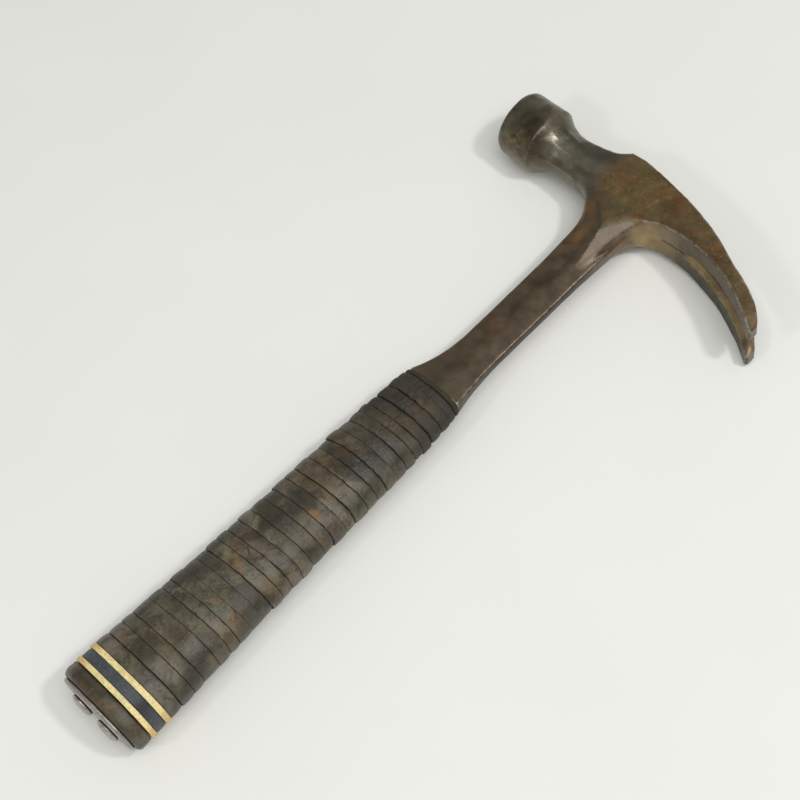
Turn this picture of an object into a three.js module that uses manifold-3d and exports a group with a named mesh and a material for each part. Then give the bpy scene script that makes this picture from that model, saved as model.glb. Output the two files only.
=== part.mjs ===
// A one-piece forged claw hammer with a stacked leather grip, lying on its cheek.
//
// Millimetres. +X runs along the handle from the end cap to the head, +Y is the striking
// direction, and +Z is up through the flat side of the tool. The bell, neck, cheeks, claw,
// shank and tang are one forging. The leather washers and the fibre spacers are threaded on
// the tang, and the end cap is held by two tenons of the tang that are peened over it.
import * as THREE from "three";
import { mergeVertices } from "three/addons/utils/BufferGeometryUtils.js";
import Module from "manifold-3d";

const wasm = await Module();
wasm.setup();

// Clearance between neighbouring pieces.
const GAP = 0.3;

// Points nearer to each other than this are one point.
const WELD_DISTANCE = 1e-4;

// Flat sides used for each kind of round.
const OVAL_SIDES = 28;
const BELL_SIDES = 40;
const NECK_SIDES = 32;
const TENON_SIDES = 20;

// Grip: half width in the striking direction, and half thickness, at its two ends.
const GRIP_HALF_WIDTH_BUTT = 20.4;
const GRIP_HALF_WIDTH_NECK = 15.2;
const GRIP_HALF_THICKNESS_BUTT = 14.1;
const GRIP_HALF_THICKNESS_NECK = 9.2;
const GRIP_TAPER_POWER = 2;
const GRIP_SQUARENESS = 2.25;

// The stack on the tang, from the end cap up. The leather is cut from hide of uneven
// thickness, so each washer has its own. Every figure includes its share of the gaps.
const CAP_THICKNESS = 2.2;
const CAP_SETBACK = 2.3;
const CAP_CHAMFER = 0.6;
const BUTT_WASHER_THICKNESS = 6.1;
const BUTT_WASHER_INSET = 0.2;
const SPACER_THICKNESSES = [2.4, 4.2, 2.6];
const LEATHER_THICKNESSES = [
  5.5, 6.1, 5.1, 7.7, 5.6, 4.5, 5.9, 5.8, 5.0, 5.4, 4.9, 5.4, 5.3, 6.1,
  5.3, 6.0, 4.9, 6.4, 5.3, 4.9, 5.6, 5.3, 4.9, 4.2, 4.9, 5.6, 4.5, 3.8,
];
const TOP_WASHER_THICKNESS = 2.3;

// Share of a washer's thickness that each of its rims is bevelled over.
const RIM_FRACTION = 0.2;

// Tang, and the two tenons at its end.
const TANG_WIDTH = 18.4;
const TANG_THICKNESS = 4.4;
const TENON_RADIUS = 2.1;
const TENON_OFFSET = 7;
const PEEN_RADIUS = 4.8;
const PEEN_HEIGHT = 2.2;

// Shank: a flat bar with a low ridge along the middle of each side. It sits slightly
// towards the claw side of the grip, and widens into a shoulder that the stack bears on.
const SHANK_OFFSET = -1.5;
const SHANK_HALF_WIDTH = 8.5;
const SHANK_RIDGE_HALF_THICKNESS = 3.6;
const SHANK_EDGE_HALF_THICKNESS = 2.2;
const SHOULDER_HALF_WIDTH = 12.3;
const SHOULDER_LENGTH = 26;
const SHOULDER_SLOPE = 2.2;

// Bell and neck, turned about the striking axis.
const BELL_AXIS_X = 281;
const FACE_Y = 60.5;
const FACE_RADIUS = 11.6;
const BELL_FRONT_Y = 58.1;
const BELL_FRONT_RADIUS = 13.5;
const BELL_REAR_Y = 43.7;
const BELL_RADIUS = 14;
const BELL_BEVEL_LENGTH = 4.1;
const BELL_BEVEL_DEPTH = 2.7;
const NECK_RADIUS = 9;
const NECK_FLATNESS = 0.87;
const NECK_Y = 28;
const NECK_FLARE = 2.6;

// Head and claw.
const CHEEK_HALF_THICKNESS = 8.4;
const CHEEK_NECK_Y = 12;
const HEAD_FAR_X = 330;
const SHANK_BLEND_START_X = 245;
const SHANK_BLEND_END_X = 266.5;
const CLAW_HALF_SPREAD = 14;
const CLAW_TIP_X = 258.4;
const CLAW_TIP_Y = -76;
const CLAW_TIP_HALF_SPREAD = 8.5;
const SLOT_ROOT_Y = -31;
const SLOT_ROOT_HALF_WIDTH = 1;
const SLOT_MOUTH_HALF_WIDTH = 4.2;

const hammer = new THREE.Group();

// Each call makes a fresh material, so that every piece has its own.
function finish(color, roughness, metalness) {
  return () => new THREE.MeshStandardMaterial({ color, roughness, metalness });
}

const leather = finish(0x4a4038, 0.6, 0);
const buttLeather = finish(0x3c2d22, 0.6, 0);
const yellowFibre = finish(0xd9bf72, 0.55, 0);
const darkFibre = finish(0x2c333d, 0.5, 0);
const forgedSteel = finish(0x6b5f52, 0.45, 1);
const capSteel = finish(0x9a9894, 0.4, 1);

function toSolid(geometry) {
  const bare = geometry.clone();
  bare.deleteAttribute("normal");
  bare.deleteAttribute("uv");
  const merged = mergeVertices(bare, WELD_DISTANCE);
  const mesh = new wasm.Mesh({
    numProp: 3,
    vertProperties: new Float32Array(merged.attributes.position.array),
    triVerts: new Uint32Array(merged.index.array),
  });
  return new wasm.Manifold(mesh);
}

function toGeometry(solid) {
  const mesh = solid.getMesh();
  const geometry = new THREE.BufferGeometry();
  const positions = new Float32Array(mesh.vertProperties);
  geometry.setAttribute("position", new THREE.BufferAttribute(positions, 3));
  geometry.setIndex(new THREE.BufferAttribute(new Uint32Array(mesh.triVerts), 1));
  geometry.computeVertexNormals();
  return geometry;
}

function addPiece(name, geometry, material) {
  const piece = new THREE.Mesh(geometry, material);
  piece.name = name;
  hammer.add(piece);
  return piece;
}

// Turns an outline drawn as (Y, Z) so that its extrusion runs along the handle.
const ALONG_HANDLE = new THREE.Matrix4().makeBasis(
  new THREE.Vector3(0, 1, 0),
  new THREE.Vector3(0, 0, 1),
  new THREE.Vector3(1, 0, 0),
);

// A closed outline in the X-Y plane, extruded equally up and down.
function slabAcrossZ(shape, halfHeight) {
  const geometry = new THREE.ExtrudeGeometry(shape, { depth: 2 * halfHeight, bevelEnabled: false });
  geometry.translate(0, 0, -halfHeight);
  return toSolid(geometry);
}

// An outline drawn as (Y, Z), extruded along X from x0 to x1.
function barAlongX(shape, x0, x1) {
  const geometry = new THREE.ExtrudeGeometry(shape, { depth: x1 - x0, bevelEnabled: false });
  geometry.applyMatrix4(ALONG_HANDLE);
  geometry.translate(x0, 0, 0);
  return toSolid(geometry);
}

// An outline drawn as (X, Z), extruded along Y from y0 to y1.
function plateAcrossY(shape, y0, y1) {
  const geometry = new THREE.ExtrudeGeometry(shape, { depth: y1 - y0, bevelEnabled: false });
  geometry.rotateX(Math.PI / 2);
  geometry.translate(0, y1, 0);
  return toSolid(geometry);
}

function polygon(points) {
  return new THREE.Shape(points.map(([x, y]) => new THREE.Vector2(x, y)));
}

// Grip half width and half thickness at a distance x from the end cap.
const LEATHER_LENGTH = LEATHER_THICKNESSES.reduce((sum, t) => sum + t, 0);
const SPACERS_LENGTH = SPACER_THICKNESSES.reduce((sum, t) => sum + t, 0);
const LEATHER_START_X = CAP_THICKNESS + BUTT_WASHER_THICKNESS + SPACERS_LENGTH;
const GRIP_TOP_X = LEATHER_START_X + LEATHER_LENGTH + TOP_WASHER_THICKNESS;

function gripSize(x) {
  const taper = Math.pow(Math.max(0, 1 - x / GRIP_TOP_X), GRIP_TAPER_POWER);
  return {
    halfWidth: THREE.MathUtils.lerp(GRIP_HALF_WIDTH_NECK, GRIP_HALF_WIDTH_BUTT, taper),
    halfThickness: THREE.MathUtils.lerp(
      GRIP_HALF_THICKNESS_NECK,
      GRIP_HALF_THICKNESS_BUTT,
      taper,
    ),
  };
}

// A rounded-rectangle-like oval drawn as (Y, Z).
function ovalShape(halfWidth, halfThickness) {
  const points = [];
  for (let i = 0; i < OVAL_SIDES; i += 1) {
    const angle = (2 * Math.PI * i) / OVAL_SIDES;
    const c = Math.cos(angle);
    const s = Math.sin(angle);
    const y = halfWidth * Math.sign(c) * Math.pow(Math.abs(c), 2 / GRIP_SQUARENESS);
    const z = halfThickness * Math.sign(s) * Math.pow(Math.abs(s), 2 / GRIP_SQUARENESS);
    points.push(new THREE.Vector2(y, z));
  }
  return new THREE.Shape(points);
}

// A washer on the tang, with rounded rims and the tang's slot through it.
function washerGeometry(x0, x1, inset) {
  const start = x0 + GAP / 2;
  const thickness = x1 - x0 - GAP;
  const rim = thickness * RIM_FRACTION;
  const { halfWidth, halfThickness } = gripSize((x0 + x1) / 2);
  const outline = ovalShape(halfWidth - inset - rim, halfThickness - inset - rim);
  const geometry = new THREE.ExtrudeGeometry(outline, {
    depth: thickness - 2 * rim,
    bevelEnabled: true,
    bevelThickness: rim,
    bevelSize: rim,
    bevelSegments: 1,
  });
  geometry.applyMatrix4(ALONG_HANDLE);
  geometry.translate(start + rim, 0, 0);
  const slotHalfWidth = TANG_WIDTH / 2 + GAP;
  const slotHalfThickness = TANG_THICKNESS / 2 + GAP;
  const slot = new THREE.BoxGeometry(2 * thickness, 2 * slotHalfWidth, 2 * slotHalfThickness);
  slot.translate((x0 + x1) / 2, 0, 0);
  return toGeometry(toSolid(geometry).subtract(toSolid(slot)));
}

// End cap: an oval plate with two round holes for the tenons.
function endCapGeometry() {
  const { halfWidth, halfThickness } = gripSize(0);
  const inset = CAP_SETBACK + CAP_CHAMFER;
  const geometry = new THREE.ExtrudeGeometry(ovalShape(halfWidth - inset, halfThickness - inset), {
    depth: CAP_THICKNESS - GAP - CAP_CHAMFER,
    bevelEnabled: true,
    bevelThickness: CAP_CHAMFER / 2,
    bevelSize: CAP_CHAMFER,
    bevelSegments: 1,
  });
  geometry.applyMatrix4(ALONG_HANDLE);
  geometry.translate(CAP_CHAMFER / 2, 0, 0);
  let cap = toSolid(geometry);
  for (const side of [-1, 1]) {
    const radius = TENON_RADIUS + GAP;
    const hole = new THREE.CylinderGeometry(radius, radius, 4 * CAP_THICKNESS, TENON_SIDES);
    hole.rotateZ(Math.PI / 2);
    hole.translate(0, side * TENON_OFFSET, 0);
    cap = cap.subtract(toSolid(hole));
  }
  return toGeometry(cap);
}

// Bell: a flat striking face with a chamfered rim, a slightly tapered body and a bevelled rear.
function bellSolid() {
  const rearY = BELL_REAR_Y - BELL_BEVEL_LENGTH;
  const profile = new THREE.Path();
  profile.moveTo(0, rearY);
  profile.lineTo(BELL_RADIUS - BELL_BEVEL_DEPTH, rearY);
  profile.lineTo(BELL_RADIUS, BELL_REAR_Y);
  profile.lineTo(BELL_FRONT_RADIUS, BELL_FRONT_Y);
  profile.lineTo(FACE_RADIUS, FACE_Y);
  profile.lineTo(0, FACE_Y);
  const bell = new THREE.LatheGeometry(profile.getPoints(), BELL_SIDES);
  bell.translate(BELL_AXIS_X, 0, 0);
  return toSolid(bell);
}

// Neck: oval, a little thinner than it is wide, from inside the cheeks to inside the bell.
function neckSolid() {
  const bellY = BELL_REAR_Y - 1;
  const bellEndRadius = NECK_RADIUS + NECK_FLARE;
  const profile = new THREE.Path();
  profile.moveTo(0, CHEEK_NECK_Y);
  profile.lineTo(NECK_RADIUS, CHEEK_NECK_Y);
  profile.lineTo(NECK_RADIUS, NECK_Y);
  profile.bezierCurveTo(NECK_RADIUS, NECK_Y + 5, NECK_RADIUS + 0.8, bellY - 6, bellEndRadius, bellY);
  profile.lineTo(0, bellY);
  const neck = new THREE.LatheGeometry(profile.getPoints(5), NECK_SIDES);
  neck.scale(1, 1, NECK_FLATNESS);
  neck.translate(BELL_AXIS_X, 0, 0);
  return toSolid(neck);
}

// Cheeks and claw seen from the side: (x, y) outline from the neck's upper corner, down the
// outer curve to the claw's tip, back along the inner curve and round the throat.
function sideOutline() {
  const outline = new THREE.Shape();
  outline.moveTo(290.7, 19);
  outline.quadraticCurveTo(291.4, 14.6, 294.8, 11.2);
  outline.bezierCurveTo(292, -11.3, 286.1, -34.6, 276.2, -54.2);
  outline.quadraticCurveTo(270.2, -71, CLAW_TIP_X + 0.8, CLAW_TIP_Y - 0.4);
  outline.lineTo(CLAW_TIP_X, CLAW_TIP_Y + 0.6);
  outline.quadraticCurveTo(264.6, -66.6, 269.9, -53);
  outline.bezierCurveTo(273.3, -44.5, 275.4, -32, 274.2, -21.5);
  outline.quadraticCurveTo(272.4, -11.8, 258, SHANK_OFFSET - SHANK_HALF_WIDTH + 0.6);
  outline.lineTo(SHANK_BLEND_START_X, SHANK_OFFSET - SHANK_HALF_WIDTH);
  outline.lineTo(SHANK_BLEND_START_X, SHANK_OFFSET + SHANK_HALF_WIDTH);
  outline.quadraticCurveTo(262, 7.5, 268, CHEEK_NECK_Y);
  outline.quadraticCurveTo(271, 15.4, 271.4, 19);
  return outline;
}

// The same head seen along the handle: (y, z) outline of the cheeks, widening to the claw's
// spread, with each tine rounded off to its tip.
function clawSpreadOutline() {
  const tipY = CLAW_TIP_Y - 0.8;
  const side = (sign) => [
    new THREE.Vector2(22, sign * CHEEK_HALF_THICKNESS),
    new THREE.Vector2(-6, sign * CHEEK_HALF_THICKNESS),
    new THREE.Vector2(-14, sign * 9.4),
    new THREE.Vector2(-33, sign * 11.6),
    new THREE.Vector2(-56, sign * 13.7),
    new THREE.Vector2(-63, sign * CLAW_HALF_SPREAD),
    new THREE.Vector2(-67, sign * 13.7),
    new THREE.Vector2(-72, sign * 12.4),
    new THREE.Vector2(-75, sign * 10.6),
    new THREE.Vector2(tipY, sign * CLAW_TIP_HALF_SPREAD),
  ];
  const outline = new THREE.Shape([...side(1), ...side(-1).reverse()]);
  return outline;
}

// The head seen from above the claw: (x, z) outline that lets the cheeks blend down into
// the thin shank.
function cheekBlendOutline() {
  const reach = CLAW_HALF_SPREAD + 1;
  const start = SHANK_BLEND_START_X + 4;
  const startHeight = SHANK_EDGE_HALF_THICKNESS + 0.4;
  const bend = SHANK_BLEND_END_X - 6;
  const outline = new THREE.Shape();
  outline.moveTo(SHANK_BLEND_START_X - 1, SHANK_EDGE_HALF_THICKNESS);
  outline.lineTo(start, startHeight);
  outline.quadraticCurveTo(bend, 4, SHANK_BLEND_END_X, CHEEK_HALF_THICKNESS);
  outline.lineTo(SHANK_BLEND_END_X, reach);
  outline.lineTo(HEAD_FAR_X, reach);
  outline.lineTo(HEAD_FAR_X, -reach);
  outline.lineTo(SHANK_BLEND_END_X, -reach);
  outline.lineTo(SHANK_BLEND_END_X, -CHEEK_HALF_THICKNESS);
  outline.quadraticCurveTo(bend, -4, start, -startHeight);
  outline.lineTo(SHANK_BLEND_START_X - 1, -SHANK_EDGE_HALF_THICKNESS);
  return outline;
}

function headSolid() {
  const side = slabAcrossZ(sideOutline(), CLAW_HALF_SPREAD + 1);
  const spread = barAlongX(clawSpreadOutline(), SHANK_BLEND_START_X - 2, 300);
  const cheeks = side.intersect(spread);
  const blend = plateAcrossY(cheekBlendOutline(), -40, 24);
  const eyeRegion = cheeks.intersect(blend);
  const clawRegion = toSolid(new THREE.BoxGeometry(60, 72, 40).translate(280, -57, 0));
  const nailSlot = barAlongX(
    polygon([
      [SLOT_ROOT_Y, -SLOT_ROOT_HALF_WIDTH],
      [SLOT_ROOT_Y + 1, 0],
      [SLOT_ROOT_Y, SLOT_ROOT_HALF_WIDTH],
      [CLAW_TIP_Y - 2, SLOT_MOUTH_HALF_WIDTH],
      [CLAW_TIP_Y - 2, -SLOT_MOUTH_HALF_WIDTH],
    ].reverse()),
    CLAW_TIP_X - 10,
    300,
  );
  return eyeRegion.add(cheeks.intersect(clawRegion)).subtract(nailSlot);
}

// Shank: side outline with the shoulder, crossed with the ridged section.
function shankSolid() {
  const shoulderX = GRIP_TOP_X + GAP / 2;
  const waistX = shoulderX + SHOULDER_LENGTH;
  const low = SHANK_OFFSET - SHANK_HALF_WIDTH;
  const high = SHANK_OFFSET + SHANK_HALF_WIDTH;
  const bendY = SHOULDER_HALF_WIDTH - SHOULDER_SLOPE;
  const outline = new THREE.Shape();
  outline.moveTo(shoulderX, -SHOULDER_HALF_WIDTH);
  outline.bezierCurveTo(shoulderX + 8, -bendY, waistX - 12, low, waistX, low);
  outline.lineTo(SHANK_BLEND_START_X + 16, low);
  outline.lineTo(SHANK_BLEND_START_X + 16, high);
  outline.lineTo(waistX, high);
  outline.bezierCurveTo(waistX - 12, high, shoulderX + 8, bendY, shoulderX, SHOULDER_HALF_WIDTH);
  const slab = slabAcrossZ(outline, 6);
  const ridge = SHANK_RIDGE_HALF_THICKNESS;
  const edge = SHANK_EDGE_HALF_THICKNESS;
  const reach = SHOULDER_HALF_WIDTH + 2;
  const section = polygon([
    [-reach, -edge],
    [SHANK_OFFSET, -ridge],
    [reach, -edge],
    [reach, edge],
    [SHANK_OFFSET, ridge],
    [-reach, edge],
  ]);
  return slab.intersect(barAlongX(section, shoulderX - 1, SHANK_BLEND_START_X + 18));
}

// Tang: a flat bar through the whole stack, with two round tenons through the end cap and a
// peened head on each.
function tangSolid() {
  const tangStart = CAP_THICKNESS + GAP;
  const tangEnd = GRIP_TOP_X + 2;
  const bar = new THREE.BoxGeometry(tangEnd - tangStart, TANG_WIDTH, TANG_THICKNESS);
  bar.translate((tangStart + tangEnd) / 2, 0, 0);
  let tang = toSolid(bar);
  for (const side of [-1, 1]) {
    const profile = new THREE.Path();
    profile.moveTo(0, -PEEN_HEIGHT);
    profile.bezierCurveTo(
      PEEN_RADIUS * 0.7,
      -PEEN_HEIGHT,
      PEEN_RADIUS,
      -PEEN_HEIGHT / 2,
      PEEN_RADIUS,
      -GAP,
    );
    profile.lineTo(TENON_RADIUS, -GAP);
    profile.lineTo(TENON_RADIUS, tangStart + 2);
    profile.lineTo(0, tangStart + 2);
    const tenon = new THREE.LatheGeometry(profile.getPoints(4), TENON_SIDES);
    tenon.rotateZ(-Math.PI / 2);
    tenon.translate(0, side * TENON_OFFSET, 0);
    tang = tang.add(toSolid(tenon));
  }
  return tang;
}

let forging = headSolid();
for (const part of [bellSolid(), neckSolid(), shankSolid(), tangSolid()]) {
  forging = forging.add(part);
}
addPiece("forged_head_and_tang", toGeometry(forging), forgedSteel());

let x = 0;
function stack(name, thickness, inset, material) {
  addPiece(name, washerGeometry(x, x + thickness, inset), material);
  x += thickness;
}

addPiece("end_cap", endCapGeometry(), capSteel());
x += CAP_THICKNESS;
stack("butt_washer", BUTT_WASHER_THICKNESS, BUTT_WASHER_INSET, buttLeather());
["spacer_yellow_lower", "spacer_dark", "spacer_yellow_upper"].forEach((name, i) => {
  stack(name, SPACER_THICKNESSES[i], 0, name === "spacer_dark" ? darkFibre() : yellowFibre());
});
LEATHER_THICKNESSES.forEach((thickness, i) => {
  stack(`leather_washer_${String(i + 1).padStart(2, "0")}`, thickness, 0, leather());
});
stack("top_washer", TOP_WASHER_THICKNESS, 0, leather());

// The origin is at the bottom centre of the whole tool.
const box = new THREE.Box3().setFromObject(hammer);
const centre = box.getCenter(new THREE.Vector3());
hammer.position.set(-centre.x, -centre.y, -box.min.z);

export default hammer;
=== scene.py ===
"""Claw hammer with a stacked leather grip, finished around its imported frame."""

import math

import bpy
import numpy as np
from bpy.props import FloatProperty, FloatVectorProperty, IntProperty, PointerProperty
from mathutils import Matrix, Vector


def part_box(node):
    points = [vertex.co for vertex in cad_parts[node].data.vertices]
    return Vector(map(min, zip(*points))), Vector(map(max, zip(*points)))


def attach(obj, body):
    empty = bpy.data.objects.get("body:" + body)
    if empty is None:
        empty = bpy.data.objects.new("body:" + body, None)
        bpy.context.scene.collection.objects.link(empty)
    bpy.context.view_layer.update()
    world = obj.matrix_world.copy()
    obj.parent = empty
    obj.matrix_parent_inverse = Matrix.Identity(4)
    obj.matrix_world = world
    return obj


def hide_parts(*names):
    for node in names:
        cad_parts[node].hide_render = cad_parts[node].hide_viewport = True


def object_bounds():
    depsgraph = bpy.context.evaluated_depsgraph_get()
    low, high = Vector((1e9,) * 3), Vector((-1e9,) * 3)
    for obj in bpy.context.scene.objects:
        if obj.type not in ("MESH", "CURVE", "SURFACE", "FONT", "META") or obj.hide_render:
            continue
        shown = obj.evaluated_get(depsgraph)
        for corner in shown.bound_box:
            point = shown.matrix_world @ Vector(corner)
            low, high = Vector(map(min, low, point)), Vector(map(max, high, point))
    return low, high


bl_info = {
    "name": "Claw Hammer",
    "version": (1, 0, 0),
    "blender": (4, 5, 0),
    "location": "3D View > Sidebar > Hammer",
    "description": "Builds a one-piece forged claw hammer with a grip of stacked leather washers",
    "category": "Mesh",
}

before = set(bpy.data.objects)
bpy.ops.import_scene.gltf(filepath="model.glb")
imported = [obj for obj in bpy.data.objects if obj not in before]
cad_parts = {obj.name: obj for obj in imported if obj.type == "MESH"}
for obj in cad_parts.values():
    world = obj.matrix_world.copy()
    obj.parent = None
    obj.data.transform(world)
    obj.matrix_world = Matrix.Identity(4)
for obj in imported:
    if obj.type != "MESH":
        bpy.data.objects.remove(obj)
CAD_BOX = [list(corner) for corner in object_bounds()]

# The handle frame, in mm: x from the outer face of the end cap towards the head, y across the
# grip towards the bell, z up from the middle of the forging's thickness.
MM = 0.001
CAP_LOW, CAP_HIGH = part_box("end_cap")
HANDLE_ORIGIN = np.array(
    [CAP_LOW.x, (CAP_LOW.y + CAP_HIGH.y) / 2, (CAP_LOW.z + CAP_HIGH.z) / 2]
)
WASHERS = sorted(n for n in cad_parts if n.startswith("leather_washer_"))
SPACERS = ("spacer_yellow_lower", "spacer_dark", "spacer_yellow_upper")

FACE_Y = (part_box("forged_head_and_tang")[1].y - HANDLE_ORIGIN[1]) / MM
GRIP_TOP_X = (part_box("top_washer")[1].x - HANDLE_ORIGIN[0]) / MM
BELL_AXIS_X = 281.0
CLAW_SPREAD = 13.9
SHANK_Y = -1.6
THROAT_Y = -13.5
SLOT_ROOT_Y = -31
TIP_Y = -77.2

# The slot through the washers, as half width and half thickness, and how square the ovals are.
TANG_SLOT = (9.6, 2.6)
SLOT_POWER = 8.0
GRIP_POWER = 2.25


# ---------------------------------------------------------------- small helpers


def to_world(points_mm):
    """Handle frame in mm to the row frame in metres."""
    return np.asarray(points_mm) * MM + HANDLE_ORIGIN


def span(node):
    """Where a CAD node starts and ends along the handle, in mm."""
    low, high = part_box(node)
    return (low.x - HANDLE_ORIGIN[0]) / MM, (high.x - HANDLE_ORIGIN[0]) / MM


def smooth(value, start, end):
    """0 before start, 1 after end, and an S curve between them."""
    t = np.clip((value - start) / (end - start), 0.0, 1.0)
    return t * t * (3 - 2 * t)


def blob(u, v, centre, size):
    """A soft round spot: 1 at its centre, falling off as a bell curve."""
    return np.exp(-((u - centre[0]) / size[0]) ** 2 - ((v - centre[1]) / size[1]) ** 2)


def ripple(points, wavelength, seed, waves=14):
    """Smooth unevenness: the mean of plane waves in random directions, roughly -1 to 1."""
    rng = np.random.default_rng(seed)
    directions = rng.normal(size=(waves, 3))
    directions /= np.linalg.norm(directions, axis=1)[:, None]
    directions *= (2 * math.pi / wavelength * rng.uniform(0.7, 1.4, waves))[:, None]
    phases = rng.uniform(0, 2 * math.pi, waves)
    total = np.zeros(points.shape[:-1])
    for direction, phase in zip(directions, phases):
        total += np.sin(points @ direction + phase)
    return total / math.sqrt(waves / 2) / 1.6


def linear(color):
    """A screen colour as the linear light values that the shaders use."""
    c = np.asarray(color[:3], float)
    return np.where(c <= 0.04045, c / 12.92, ((c + 0.055) / 1.055) ** 2.4)


def blend_color(base, color, amount):
    """Paints a colour over an array of colours by an array of amounts."""
    return base + (np.asarray(color) - base) * np.asarray(amount)[..., None]


def make_piece(name, points_mm, loops, sizes, material, nodes, floats=None, paint=None):
    """Puts arrays of points and faces into a mesh object that rides on the hammer.

    loops holds the corners of every face one after another and sizes how many each face has.
    floats are named point values and paint is a point colour, both read by the materials."""
    mesh = bpy.data.meshes.new(name)
    points = to_world(points_mm).reshape(-1, 3)
    mesh.vertices.add(len(points))
    mesh.vertices.foreach_set("co", points.astype(np.float32).ravel())
    mesh.loops.add(len(loops))
    mesh.loops.foreach_set("vertex_index", np.asarray(loops, np.int32))
    mesh.polygons.add(len(sizes))
    starts = np.concatenate([[0], np.cumsum(sizes)[:-1]]).astype(np.int32)
    mesh.polygons.foreach_set("loop_start", starts)
    mesh.update(calc_edges=True)
    mesh.shade_smooth()
    for label, values in (floats or {}).items():
        layer = mesh.attributes.new(label, "FLOAT", "POINT")
        layer.data.foreach_set("value", np.asarray(values, np.float32).ravel())
    if paint is not None:
        layer = mesh.attributes.new("patina", "FLOAT_COLOR", "POINT")
        rgba = np.ones((len(points), 4), np.float32)
        rgba[:, :3] = np.clip(np.asarray(paint).reshape(-1, 3), 0.0, 1.0)
        layer.data.foreach_set("color", rgba.ravel())
    mesh.materials.append(material)
    piece = bpy.data.objects.new(name, mesh)
    bpy.context.scene.collection.objects.link(piece)
    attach(piece, "root")
    if nodes:
        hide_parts(*nodes)
    return piece


def ring_faces(rows, columns):
    """Quads of a grid that closes both ways: rows round the section, columns round the ring."""
    r, c = np.meshgrid(np.arange(rows), np.arange(columns), indexing="ij")
    right = (c + 1) % columns
    below = (r + 1) % rows
    quads = np.stack(
        [r * columns + c, r * columns + right, below * columns + right, below * columns + c], -1
    )
    return quads.reshape(-1), np.full(rows * columns, 4)


def capped_faces(rows, columns, first=0):
    """Quads of a tube of rows by columns points, with a fan to one point at each end.

    The two end points come after the grid's own points."""
    r, c = np.meshgrid(np.arange(rows - 1), np.arange(columns), indexing="ij")
    right = (c + 1) % columns
    quads = np.stack(
        [r * columns + c, r * columns + right, (r + 1) * columns + right, (r + 1) * columns + c], -1
    )
    around = np.arange(columns)
    after = (around + 1) % columns
    low = np.stack([np.full(columns, rows * columns), after, around], -1)
    last = (rows - 1) * columns
    high = np.stack([np.full(columns, rows * columns + 1), last + around, last + after], -1)
    loops = np.concatenate([quads.reshape(-1), low.reshape(-1), high.reshape(-1)]) + first
    sizes = np.concatenate([np.full(quads.size // 4, 4), np.full(2 * columns, 3)])
    return loops, sizes


# ---------------------------------------------------------------- the grip's form


def grip_half_sizes(x):
    """Half width and half thickness of the grip at x, both shrinking to the neck along a parabola."""
    t = np.clip(x / GRIP_TOP_X, 0.0, 1.0)
    ease = (1 - t) ** 2
    return 15.0 + 5.5 * ease, 9.2 + 4.6 * ease


def oval_radius(angle, half_y, half_z, power):
    """Distance from the centre to a squared oval, whose coordinates' powers add to one."""
    c = np.abs(np.cos(angle)) / half_y
    s = np.abs(np.sin(angle)) / half_z
    return (c**power + s**power) ** (-1.0 / power)


def lean(points):
    """Leans the stack a little and makes its joints wander.

    A ring's x grows towards the claw side, more in the middle of the grip, and is moved by slow
    waves that neighbours share, so that their faces stay together."""
    x, y = points[..., 0], points[..., 1]
    amount = 0.05 * smooth(x, 2, 60) * (1 - 0.6 * smooth(x, 130, GRIP_TOP_X))
    squeezed = points * [0.6, 1, 1]
    stray = 0.38 * ripple(squeezed, 22, 77) + 0.1 * ripple(squeezed, 3.4, 78, 24)
    stray *= 0.18 + 0.82 * smooth(x, 20, 34) * (1 - 0.8 * smooth(x, 166, GRIP_TOP_X))
    out = points.copy()
    out[..., 0] = x - amount * y + stray * smooth(x, 4, 9)
    return out


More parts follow.
